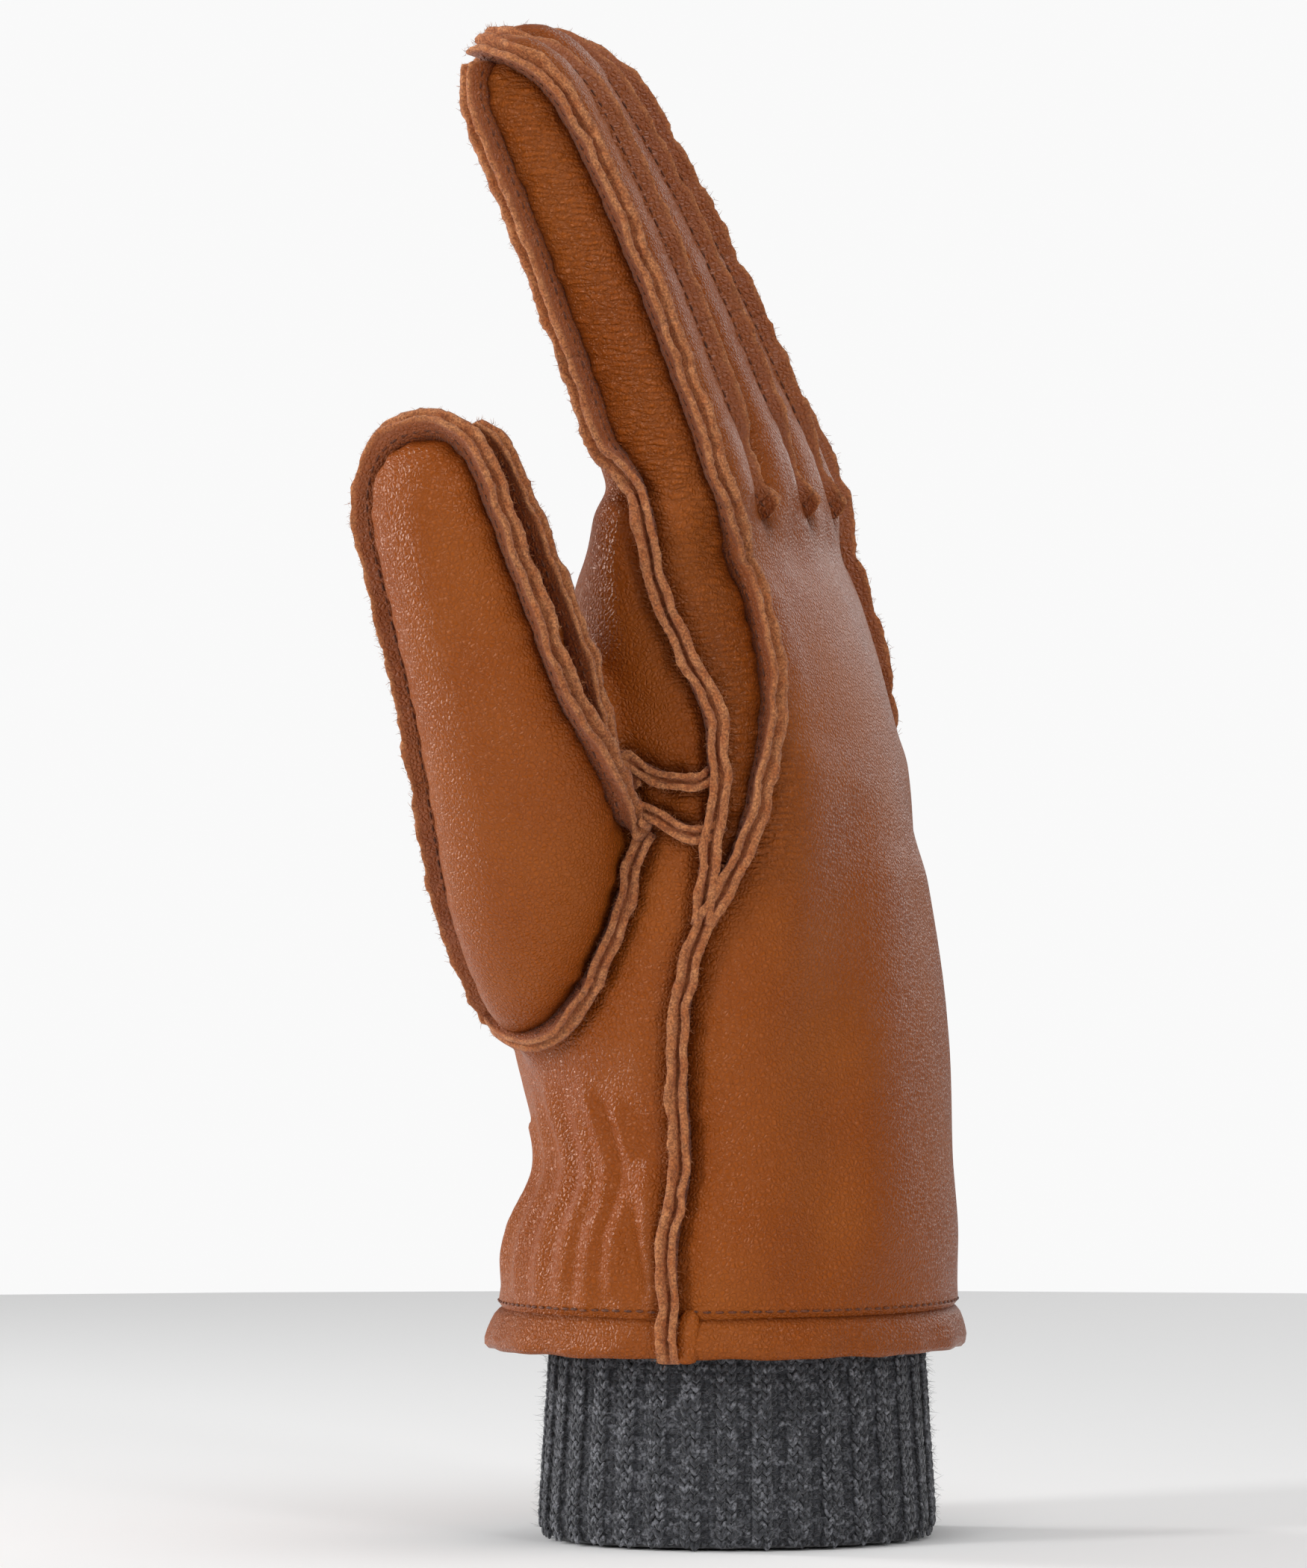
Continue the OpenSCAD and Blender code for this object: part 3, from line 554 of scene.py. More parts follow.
def lay_seam(tree, path, normals, rounds=10):
    """A path pulled onto the skin, with the direction that points out of the skin at each of its points."""
    points = eased(resample(path), rounds)
    hits = [tree.find_nearest(Vector(p)) for p in points]
    points = eased(np.array([np.array(h[0]) for h in hits]), 4)
    out = np.array([normals[h[2]] for h in hits])
    for _ in range(12):
        out[1:-1] = (out[:-2] + out[1:-1] * 2 + out[2:]) / 4
    return points, unit(out)


# Across and out of one seam's two raw edges, standing side by side, how raw each corner is, and how much
# painted shade it gets in the groove between them.
HALF_EDGE = [(-1.35, -2.2), (-1.4, 0.9), (-1.7, 2.5), (-1.9, 3.2), (-1.8, 3.6), (-1.0, 3.7), (-0.5, 3.3),
             (-0.2, 1.2)]
EDGE = np.array(HALF_EDGE + [(-x, y) for x, y in HALF_EDGE[::-1]])
RAW = np.array([0, 0, 0.08, 0.7, 1, 1, 1, 0.8, 0.8, 1, 1, 1, 0.7, 0.08, 0, 0])
GROOVE_SHADE = np.array([0, 0, 0, 0, 0, 0, 0.15, 1, 1, 0.15, 0, 0, 0, 0, 0, 0])


def wave(at, lengths, phases):
    """Several sines added up, between -1 and 1."""
    return sum(np.sin(2 * math.pi * at / l + p) for l, p in zip(lengths, phases)) / len(lengths)


def seam_shape(points, out, wide, tall, seed):
    """Rings of the raised edges along a seam, uneven as hand-sewn leather is."""
    r = np.random.default_rng(seed)
    n = len(points)
    at = np.arange(n) * SEAM_PITCH
    along = unit(np.gradient(points, axis=0))
    side = unit(np.cross(out, along))
    out = unit(np.cross(along, side))
    shift = 0.55 * wave(at, (8.3, 13.9, 23), r.uniform(0, 6, 3))
    swell = 0.3 * wave(at, (5.1, 11.7, 19), r.uniform(0, 6, 3))
    ends = np.minimum(ramp((at + 0.6) / 2.4), ramp((at[-1] - at + 0.6) / 2.4))
    x, y = EDGE[:, 0][None] * wide[:, None], EDGE[:, 1][None] * np.ones(n)[:, None]
    raised = np.clip(y / 3.75, 0, 1)
    y = np.where(y > 0, y * ((tall * ends)[:, None] + raised * swell[:, None] * 0.3), y)
    x = x + raised * shift[:, None]
    ear = np.where(EDGE[:, 0] < 0, 1, -1)[None] * raised**2
    x = x + ear * (0.2 * wave(at, (6.7, 11.1), r.uniform(0, 6, 2)))[:, None]
    y = y + raised**2 * (EDGE[:, 0] < 0)[None] * (0.25 * wave(at, (8.1, 13.3), r.uniform(0, 6, 2)))[:, None]
    rough = r.normal(0, 0.085, (n, len(EDGE), 3)) * RAW[None, :, None]
    pits = 1 - 0.12 * (np.arange(n) % 3 == 0)[:, None] * np.isin(np.arange(len(EDGE)), (1, 14))[None]
    return points[:, None] + (x * pits)[..., None] * side[:, None] + y[..., None] * out[:, None] + rough


# Share of the usual width and height of the raised edges, for the seams that stand lower.
SEAM_SIZES = {"quirk_upper": (0.8, 0.62), "quirk_lower": (0.8, 0.62), "thumb_root": (0.9, 0.75),
              "thumb_inner": (0.9, 0.8), "index_side": (1.0, 0.8), "little_side": (1.0, 0.8)}


def stitch_marks(points, out, wide):
    """Places and directions of the stitches at the foot of both edges of a seam."""
    along = unit(np.gradient(points, axis=0))
    side = unit(np.cross(out, along))
    keep = np.arange(1, len(points) - 1, round(STITCH_PITCH / SEAM_PITCH))
    marks = [(points + side * (hand * 1.36 * wide)[:, None] + out * 0.8)[keep] for hand in (1, -1)]
    return np.concatenate(marks), np.concatenate([along[keep]] * 2), np.concatenate([out[keep]] * 2)


# --- Skin with its valleys, puckers and folds -------------------------------------------------------

def seam_distance(points, seams):
    """Distance of each point to the nearest seam, and the distance along that seam."""
    apart = 137.0
    along = np.concatenate([np.arange(len(seam["points"])) * SEAM_PITCH + apart * number
                            for number, seam in enumerate(seams)])
    tree = KDTree(len(along))
    for k, p in enumerate(np.concatenate([s["points"] for s in seams])):
        tree.insert(Vector(p), k)
    tree.balance()
    found = [tree.find(Vector(p)) for p in points]
    return np.array([f[2] for f in found]), along[np.array([f[1] for f in found])]


# Folds of the hand: how high, how wide, and rows of height on the hand and round angle. First the gathers at
# the wrist with the pair that runs beside the seam, then the broad folds of the back.
WRIST_FOLDS = [
    (0.95, 1.9, [(46, 104), (62, 103), (78, 107)]), (1.05, 2.0, [(43, 111), (60, 110.5), (80, 116)]),
    (1.1, 2.2, [(44, 119), (62, 118), (77, 121)]), (1.1, 2.4, [(45, 128), (62, 127), (79, 133)]),
    (0.9, 2.6, [(46, 140), (62, 139), (76, 143)]), (0.9, 2.8, [(47, 154), (62, 153), (77, 156)]),
    (0.7, 2.8, [(48, 169), (62, 168), (76, 170)]), (1.5, 2.6, [(42, 91), (50, 93), (58, 96.5), (66, 100)]),
    (-0.9, 2.2, [(44, 95), (52, 97.5), (60, 100), (68, 104)])]
BACK_FOLDS = [(1.3, 8, [(46, 69), (90, 66), (140, 38)]), (-0.9, 7, [(48, 52), (88, 47), (130, 22)]),
              (0.8, 8, [(50, 33), (90, 28), (120, 12)])]


def fold(z, a, wide, rows):
    """Share of height of a soft ridge that runs through rows of height and round angle on the hand."""
    heights, angles = np.array(rows, float).T
    middle = np.interp(z, heights, angles)
    ends = ramp((z - heights[0] + 5) / 9) * ramp((heights[-1] - z + 5) / 9)
    return ends * np.exp(-(((a - middle) * 0.68) / wide) ** 2)


def hill(value, middle, wide):
    """1 where a value is at its middle, falling softly to 0 on both sides."""
    return np.exp(-((value - middle) / wide) ** 2)


def shaped_skin():
    """The skin's points, quads, normals and seams, with each point's masks for its wrinkles and for the painted
    shade in the valleys beside the seams.
    """
    points, quads = grown_skin()
    edges = edges_of(quads)
    everywhere = np.ones(len(points))
    points = smoothed(points, edges, everywhere, 8)
    angle, off_hand = hand_places(points)
    _, _, off_thumb = thumb_places(points)
    is_thumb = (off_thumb < off_hand) & (off_thumb < 5)
    is_finger = ~is_thumb & (points[:, 2] > HAND_TOP)
    is_hand = ~is_thumb & ~is_finger
    _, _, finger_angle = finger_places(points)
    by_thumb = hill(np.abs(off_hand) + np.abs(off_thumb), 0, 7)
    join = hill(points[:, 2], 184, 7) + np.where(off_thumb < 9, by_thumb, 0)
    points = smoothed(points, edges, np.clip(join, 0, 1), 26, back=0)
    normals = point_normals(points, quads)
    tree = BVHTree.FromPolygons([Vector(p) for p in points], quads.tolist())
    face_out = unit(normals[quads].mean(1))
    seams = []
    for seed, (name, path) in enumerate(seam_paths(tree).items()):
        path_points, out = lay_seam(tree, path, face_out)
        seams.append({"name": name, "points": path_points, "out": out, "seed": seed})
    gap, along = seam_distance(points, seams)
    x, y, z = points.T
    # Valleys beside the seams, puckers across them, and a slow unevenness of the whole leather.
    lift = -1.25 * hill(gap, 0, 2.3) + 0.5 * hill(gap, 7, 5)
    lift += 0.24 * hill(gap, 0, 5) * wave(along, (4.6, 6.3, 9.7), (0.4, 1.9, 3.3)) * 2
    lift += 0.4 * np.sin(z / 13 + y / 17) * np.sin(x / 15 + y / 21 + 1) * np.sin(z / 29 + 2)
    for side in (1, -1):
        a = side * angle
        gathers, broad = (sum(tall * fold(z, a, wide, rows) for tall, wide, rows in folds)
                          for folds in (WRIST_FOLDS, BACK_FOLDS))
        waist = 0.6 * ramp((a - 98) / 12) * hill(z, 61, 13)
        lift += np.where(is_hand & (a < 84), broad, 0)
        lift += np.where(is_hand & (a > 80), 1.35 * gathers - waist, 0)
    lift += np.where(is_hand & (np.abs(angle) < 80), 0.7 * hill(z, 120, 40) * np.cos(np.radians(angle)), 0)
    lift -= np.where(is_hand, 1.7 * hill(z, HEM_TOP, 0.9), 0)
    points = points + normals * lift[:, None]
    points = smoothed(points, edges, everywhere, 2)
    crease = np.where(is_finger, hill(np.abs(finger_angle), 90, 40), 0.0)
    crease += np.where(is_hand, ramp((z - 106) / 24) * hill(np.abs(angle), 58, 16), 0)
    crease += 0.8 * hill(gap, 0, 4)
    kept = points[quads].mean(1)[:, 2] > HEM_TOP
    # The valley mask is 1 at the seams and marks where the leather's colour gets painted shade.
    return {"points": points, "quads": quads[kept], "normals": point_normals(points, quads), "seams": seams,
            "valley_shade": hill(gap, 0, 2.6), "crease": np.clip(crease, 0, 1)}


def finger_cut(f):
    """Distance along a finger where its base piece ends and its tip piece starts."""
    return STALLS[f, 1] * BEND_SHARE - 11.0


def region_of(points):
    """The region of each point: hand, thumb_ball, thumb_base, thumb_tip, index_base, index_tip and so on."""
    _, off_hand = hand_places(points)
    t, _, off_thumb = thumb_places(points)
    f, s, _ = finger_places(points)
    names = np.full(len(points), "hand", dtype=object)
    is_thumb = (off_thumb < off_hand) & (off_thumb < 6)
    for i, name in enumerate(FINGERS):
        mine = ~is_thumb & (points[:, 2] > HAND_TOP) & (f == i)
        names[mine] = np.where(s[mine] < finger_cut(i), name + "_base", name + "_tip")
    names[is_thumb] = np.where(t[is_thumb] < THUMB_CUTS[0], "thumb_ball",
                               np.where(t[is_thumb] < THUMB_CUTS[1], "thumb_base", "thumb_tip"))
    return names


def panel_of_faces(skin):
    """Name of the leather piece that each quad of the skin belongs to."""
    q = skin["quads"]
    middle = skin["points"][q].mean(1)
    region = region_of(middle)
    angle, _ = hand_places(middle)
    _, thumb_angle, _ = thumb_places(middle)
    f, s, finger_angle = finger_places(middle)
    z = middle[:, 2]
    back, palm = curve(BACK_SEAM, 1, z), curve(PALM_SEAM, 1, z)
    flat = np.abs(angle)
    gusset = np.where(angle > 0, "index_side_gusset", "little_side_gusset")
    hand = np.where((flat < back) | ((z < 110) & (flat < palm)), "back_panel",
                    np.where(flat > palm, "palm_panel", gusset))
    in_quirk = np.abs(z - (131.6 - 0.25 * middle[:, 0])) < 3.4
    hand = np.where(in_quirk & (angle > 60) & (angle < 104) & (flat > palm), "thumb_quirk", hand)
    a = np.abs(finger_angle)
    length = STALLS[f, 1]
    edges = np.array([[side_angles(i, side) for side in (-1, 1)] for i in range(4)])
    edges = edges[f, (finger_angle > 0).astype(int)]
    wrap = edges[:, 0] + 100 * ramp((s - length + 16) / 15)
    strip = np.where(a < wrap, "_back_", np.where(a > edges[:, 1], "_palm_", "_fourchettes_"))
    thumb = np.where((thumb_angle > -40) & (thumb_angle < 88), "_front_",
                     np.where((thumb_angle > -67) & (thumb_angle < -40), "_fourchette_", "_back_"))
    names = np.empty(len(q), dtype=object)
    for i, place in enumerate(region):
        if place == "hand":
            names[i] = hand[i]
        else:
            limb, end = place.split("_")
            names[i] = limb + (thumb[i] if limb == "thumb" else strip[i]) + end
    return names, region


def skin_sheet(name, skin, faces, top, bottom):
    """A closed sheet of the skin's faces, between two depths under its surface."""
    used, local = np.unique(faces, return_inverse=True)
    local = local.reshape(faces.shape)
    n = len(used)
    points, normals = skin["points"][used], skin["normals"][used]
    starts = local.ravel()
    ends = np.roll(local, -1, axis=1).ravel()
    forward, backward = starts * n + ends, ends * n + starts
    rim = ~np.isin(forward, backward)
    a, b = starts[rim], ends[rim]
    quads = np.concatenate([local, local[:, ::-1] + n, np.stack([b, a, a + n, b + n], -1)])
    piece = new_object(name, np.concatenate([points + normals * top, points + normals * bottom]),
                       quads.tolist(), np.concatenate([normals, -normals]))
    # Masks for the wrinkles and for the painted shade in the valleys beside the seams.
    for key in ("valley_shade", "crease"):
        give(piece, key, np.concatenate([skin[key][used]] * 2))
    return piece


# --- Riding with the hand ----------------------------------------------------------------------------

def place_on_bodies(piece, region):
    """The hand's pieces ride with the hand's body; every other piece has its transform baked into its mesh."""
    if region in ("hand", "thumb_ball"):
        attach(piece, "hand")
        return
    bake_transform(piece)


def finish_piece(piece, region, material, slot, *nodes):
    """Gives a piece its material and its bodies, and hides the CAD nodes it stands in for. The slot is not
    used.
    """
    if not piece.data.materials:
        piece.data.materials.append(material)
    place_on_bodies(piece, region)
    if nodes:
        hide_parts(*nodes)


# --- Materials ----------------------------------------------------------------------------------------

def shade(hex_colour):
    """A colour as the shader takes it, from its usual red, green and blue."""
    parts = [int(hex_colour[i:i + 2], 16) / 255 for i in (0, 2, 4)]
    return tuple(c / 12.92 if c <= 0.04045 else ((c + 0.055) / 1.055) ** 2.4 for c in parts) + (1,)


def add(tree, kind, inputs=None, **settings):
    """A node with its settings made and its inputs set or linked."""
    made = tree.nodes.new(kind)
    for key, value in settings.items():
        setattr(made, key, value)
    for key, value in (inputs or {}).items():
        if isinstance(value, bpy.types.NodeSocket):
            tree.links.new(value, made.inputs[key])
        else:
            made.inputs[key].default_value = value
    return made


def maths(tree, operation, a, b=0.0):
    return add(tree, "ShaderNodeMath", {0: a, 1: b}, operation=operation).outputs[0]


def times(tree, a, b):
    return maths(tree, "MULTIPLY", a, b)


def plus(tree, a, b):
    return maths(tree, "ADD", a, b)


def minus(tree, a, b):
    return maths(tree, "SUBTRACT", a, b)


def vector_maths(tree, operation, a, b):
    return add(tree, "ShaderNodeVectorMath", {0: a, 1: b}, operation=operation).outputs[0]


def noise(tree, place, scale, detail, output="Fac"):
    made = add(tree, "ShaderNodeTexNoise", {"Vector": place, "Scale": scale, "Detail": detail})
    return made.outputs[output]


def cells(tree, place, scale, full):
    """Raised cells with sunk lines between them: 0 on a line, and 1 from the distance full inwards."""
    made = add(tree, "ShaderNodeTexVoronoi", {"Vector": place, "Scale": scale}, feature="DISTANCE_TO_EDGE")
    return stretched(tree, made.outputs["Distance"], 0.0, full)


def stretched(tree, value, low, high):
    """A value moved to 0 at low and 1 at high."""
    made = add(tree, "ShaderNodeMapRange", {"Value": value, "From Min": low, "From Max": high})
    return made.outputs["Result"]


def on_points(tree, name):
    """A number stored on the points of a piece."""
    return add(tree, "ShaderNodeAttribute", attribute_name=name).outputs["Fac"]


def blended(tree, share, a, b):
    return add(tree, "ShaderNodeMix", {0: share, 6: a, 7: b}, data_type="RGBA").outputs[2]


def effect(name, inputs, outputs):
    """A shader node group with named inputs, each with its value, and named outputs."""
    group = bpy.data.node_groups.new(name, "ShaderNodeTree")
    kinds = {"color": "NodeSocketColor", "float": "NodeSocketFloat", "vector": "NodeSocketVector"}
    for key, (kind, value) in inputs.items():
        group.interface.new_socket(key, in_out="INPUT", socket_type=kinds[kind]).default_value = value
    for key, kind in outputs.items():
        group.interface.new_socket(key, in_out="OUTPUT", socket_type=kinds[kind])
    return group, add(group, "NodeGroupInput").outputs, add(group, "NodeGroupOutput").inputs


def leather_grain():
    """Fine pebble grain, with drawn-out wrinkles where the leather gathers, and painted shade in the wrinkles'
    creases, in the sunk lines between the pebbles and in the valleys beside the seams.
    """
    # Deep is the dark colour of the painted shade; Worn is a lighter tone laid at random.
    group, given, made = effect(
        "leather_grain",
        {"Colour": ("color", shade("9A4A10")), "Deep": ("color", shade("401804")),
         "Worn": ("color", shade("B0601F")), "Grain Size": ("float", 0.8), "Wrinkle": ("float", 1.0)},
        {"Color": "color", "Roughness": "float", "Height": "float"})
    place = add(group, "ShaderNodeTexCoord").outputs["Object"]
    warp = noise(group, place, 900.0, 2.0, "Color")
    bent = vector_maths(group, "MULTIPLY", warp, (0.0006, 0.0006, 0.0006))
    moved = vector_maths(group, "ADD", place, bent)
    pebble = cells(group, moved, maths(group, "DIVIDE", 1000.0, given["Grain Size"]), 0.34)
    pores = noise(group, place, 1500.0, 2.0)
    drawn = add(group, "ShaderNodeMapping", {"Vector": place, "Rotation": (0.0, math.radians(-16), 0.0),
                                             "Scale": (300.0, 300.0, 1150.0)}).outputs[0]
    drawn = vector_maths(group, "ADD", drawn, noise(group, place, 260.0, 2.0, "Color"))
    wrinkles = cells(group, drawn, 0.85, 0.3)
    gathered = times(group, on_points(group, "crease"), given["Wrinkle"])
    valley_shade = on_points(group, "valley_shade")
    height = plus(group, times(group, pebble, 0.16), times(group, pores, 0.05))
    height = plus(group, height, times(group, times(group, wrinkles, gathered), 0.26))
    group.links.new(height, made["Height"])
    cloud = stretched(group, noise(group, place, 38.0, 4.0), 0.38, 0.66)
    colour = blended(group, times(group, cloud, 0.35), given["Colour"], given["Worn"])
    # Painted shade: the Deep colour darkens the creases of the wrinkles, the sunk lines between the pebbles and
    # the valleys beside the seams.
    crease_shade = times(group, minus(group, 1.0, wrinkles), times(group, gathered, 0.3))
    pit_shade = times(group, minus(group, 1.0, pebble), 0.2)
    for share in (crease_shade, pit_shade, times(group, valley_shade, 0.6)):
        colour = blended(group, share, colour, given["Deep"])
    group.links.new(colour, made["Color"])
    rough = plus(group, plus(group, 0.31, times(group, cloud, 0.1)), times(group, valley_shade, 0.25))
    group.links.new(rough, made["Roughness"])
    return group


def suede_nap():
    """The short fibres of a cut leather edge."""
    group, given, made = effect(
        "suede_nap", {"Colour": ("color", shade("C4723A")), "Deep": ("color", shade("6A3010")),
                      "Tip": ("color", shade("ECA56C"))}, {"Color": "color", "Height": "float"})
    place = add(group, "ShaderNodeTexCoord").outputs["Object"]
    clump = stretched(group, noise(group, place, 420.0, 3.0), 0.35, 0.65)
    fibre = add(group, "ShaderNodeTexNoise",
                {"Vector": place, "Scale": 2400.0, "Detail": 4.0, "Roughness": 0.7}).outputs["Fac"]
    loose = stretched(group, fibre, 0.4, 0.62)
    colour = blended(group, times(group, clump, 0.6), given["Colour"], given["Tip"])
    colour = blended(group, minus(group, 0.75, times(group, loose, 0.75)), colour, given["Deep"])
    group.links.new(colour, made["Color"])
    group.links.new(plus(group, times(group, clump, 0.14), times(group, fibre, 0.2)), made["Height"])
    return group


def yarn_mix():
    """Yarn spun from dark and pale fibres."""
    group, given, made = effect(
        "yarn_mix", {"Colour": ("color", shade("47484D")), "Deep": ("color", shade("17181B")),
                     "Pale": ("color", shade("A6A7AE"))}, {"Color": "color", "Height": "float"})
    place = add(group, "ShaderNodeTexCoord").outputs["Object"]
    pale = stretched(group, noise(group, place, 620.0, 4.0), 0.48, 0.64)
    fibre = noise(group, place, 2100.0, 3.0)
    dark = stretched(group, fibre, 0.56, 0.4)
    colour = blended(group, times(group, pale, 0.6), given["Colour"], given["Pale"])
    colour = blended(group, times(group, dark, 0.8), colour, given["Deep"])
    group.links.new(colour, made["Color"])
    group.links.new(times(group, fibre, 0.25), made["Height"])
    return group


def new_material(name):
    made = bpy.data.materials.new(name)
    made.use_nodes = True
    return made, made.node_tree, made.node_tree.nodes["Principled BSDF"]


def place_effect(tree, group, **values):
    """A shared effect placed in a material, with its own values for some inputs."""
    made = add(tree, "ShaderNodeGroup", node_tree=group)
    for key, value in values.items():
        made.inputs[key].default_value = value
    return made.outputs


def bump(tree, shader, height, strength=1.0):
    """Relief of a height in millimetres."""
    made = add(tree, "ShaderNodeBump", {"Height": height, "Distance": MM, "Strength": strength})
    tree.links.new(made.outputs["Normal"], shader.inputs["Normal"])


# What is spun, woven or sewn: name, roughness, sheen, and its own colours in place of the usual yarn's.
YARNS = {
    "knit": ("charcoal_wool_knit", 0.95, 0.3, {}),
    "fuzz": ("loose_wool_fibre", 0.9, 0.3, {"Colour": "77787D", "Pale": "B4B5BA", "Deep": "4B4C50"}),
    "thread": ("brown_sewing_thread", 0.6, 0.05, {"Colour": "6E3411", "Deep": "3A1806", "Pale": "9A5524"}),
    "elastic": ("woven_elastic", 0.8, 0.05, {"Colour": "C9C6C0", "Deep": "8C8983", "Pale": "E6E4DF"}),
    "pad": ("conductive_cloth", 0.5, 0.05, {"Colour": "6E7074", "Deep": "3D3F42", "Pale": "A3A5A9"})}


def make_materials():
    """Every material of the glove under a short key."""
    leather, suede, yarn = leather_grain(), suede_nap(), yarn_mix()
    made = {}
    made["leather"], tree, shader = new_material("smooth_tan_leather")
    out = place_effect(tree, leather)
    tree.links.new(out["Color"], shader.inputs["Base Color"])
    tree.links.new(out["Roughness"], shader.inputs["Roughness"])
    shader.inputs["Specular IOR Level"].default_value = 0.45
    shader.inputs["Specular Tint"].default_value = (1.0, 0.62, 0.42, 1)
    bump(tree, shader, out["Height"])
    made["edge"], tree, shader = new_material("raw_leather_edge")
    # The smooth flanks take the leather's colour, with painted shade in the groove between the two raw edges.
    smooth, nap = place_effect(tree, leather, Wrinkle=0.0), place_effect(tree, suede)
    raw = on_points(tree, "raw")
    tree.links.new(blended(tree, raw, smooth["Color"], nap["Color"]), shader.inputs["Base Color"])
    tree.links.new(plus(tree, 0.45, times(tree, raw, 0.5)), shader.inputs["Roughness"])
    shader.inputs["Sheen Weight"].default_value = 0.1
    shader.inputs["Sheen Roughness"].default_value = 0.6
    bump(tree, shader, plus(tree, times(tree, smooth["Height"], minus(tree, 1.0, raw)),
                            times(tree, nap["Height"], raw)))
    for key, (name, rough, sheen, colours) in YARNS.items():
        made[key], tree, shader = new_material(name)
        out = place_effect(tree, yarn, **{part: shade(value) for part, value in colours.items()})
        tree.links.new(out["Color"], shader.inputs["Base Color"])
        shader.inputs["Roughness"].default_value = rough
        shader.inputs["Sheen Weight"].default_value = sheen
        bump(tree, shader, out["Height"], 0.8)
    return made


# --- Stitches and fibres by Geometry Nodes ------------------------------------------------------------

def marks_tree(name, sides, rings, tapered=False):
    """A tree that sets one small shape at every point of its mesh, turned as the point's own turn says."""
    tree = bpy.data.node_groups.new(name, "GeometryNodeTree")
    sockets = {}
    tree.interface.new_socket("Geometry", in_out="OUTPUT", socket_type="NodeSocketGeometry")
    kinds = {"Geometry": "Geometry", "Width": "Float", "Thickness": "Float", "Length": "Float",
             "Unevenness": "Float", "Seed": "Int", "Material": "Material"}
    for key, kind in kinds.items():
        made = tree.interface.new_socket(key, in_out="INPUT", socket_type="NodeSocket" + kind)
        sockets[key] = made.identifier
    given, result = add(tree, "NodeGroupInput").outputs, add(tree, "NodeGroupOutput").inputs
    if tapered:
        shape = add(tree, "GeometryNodeMeshCone", {"Vertices": sides, "Side Segments": rings,
                                                   "Radius Top": 0.15, "Radius Bottom": 0.5, "Depth": 1.0})
    else:
        shape = add(tree, "GeometryNodeMeshUVSphere", {"Segments": sides, "Rings": rings, "Radius": 0.5})
    turn = add(tree, "GeometryNodeInputNamedAttribute", {"Name": "turn"}, data_type="FLOAT_VECTOR")
    turn = add(tree, "FunctionNodeEulerToRotation", {0: turn.outputs["Attribute"]}).outputs[0]
    chance = add(tree, "FunctionNodeRandomValue", {"Seed": given["Seed"]}, data_type="FLOAT")
    low, high = [s for s in chance.inputs if s.name in ("Min", "Max") and s.type == "VALUE" and s.enabled]
    tree.links.new(minus(tree, 1.0, given["Unevenness"]), low)
    tree.links.new(plus(tree, 1.0, given["Unevenness"]), high)
    size = add(tree, "ShaderNodeCombineXYZ", {0: given["Width"], 1: given["Thickness"], 2: given["Length"]})
    size = add(tree, "ShaderNodeVectorMath", {0: size.outputs[0]}, operation="SCALE")
    factor = [o for o in chance.outputs if o.type == "VALUE" and o.enabled][0]
    tree.links.new(factor, size.inputs["Scale"])
    placed = add(tree, "GeometryNodeInstanceOnPoints", {
        "Points": given["Geometry"], "Instance": shape.outputs["Mesh"], "Rotation": turn,
        "Scale": size.outputs[0]})
    real = add(tree, "GeometryNodeRealizeInstances", {"Geometry": placed.outputs[0]})
    smooth = add(tree, "GeometryNodeSetShadeSmooth", {0: real.outputs[0]})
    coloured = add(tree, "GeometryNodeSetMaterial",
                   {"Geometry": smooth.outputs[0], "Material": given["Material"]})
    tree.links.new(coloured.outputs[0], result["Geometry"])
    return tree, sockets


def turns_of(along, out):
    """Turns that set a shape's length along one direction and its thickness along another."""
    along = unit(along)
    side = unit(np.cross(out, along))
    out = np.cross(along, side)
    return np.stack([np.arctan2(out[:, 2], along[:, 2]), -np.arcsin(np.clip(side[:, 2], -1, 1)),
                     np.arctan2(side[:, 1], side[:, 0])], -1)


def scatter(name, tree_and_sockets, points, along, out, size, unevenness, seed, material):
    """A plain mesh of small shapes at the points, made by the given tree. The size is in millimetres."""
    tree, sockets = tree_and_sockets
    holder = new_object(name + "_points", points, [])
    give(holder, "turn", turns_of(along, out))
    marks = holder.modifiers.new("marks", "NODES")
    marks.node_group = tree
    wide, thick, long = (value * MM for value in size)
    for key, value in {"Width": wide, "Thickness": thick, "Length": long, "Unevenness": unevenness,
                       "Seed": seed, "Material": material}.items():
        marks[sockets[key]] = value
    bpy.context.view_layer.update()
    mesh = plain_mesh(holder)
    mesh.name = name
    piece = bpy.data.objects.new(name, mesh)
    bpy.context.scene.collection.objects.link(piece)
    return piece


# --- Cuff and hem -----------------------------------------------------------------------------------

RIBS = 34
# Height of one row of knitting and of the cuff's hidden top, and the cuff's half depth and half width.
ROW = 1.62
CUFF_TOP = 57.0
CUFF_X, CUFF_Y = 32, 36.5


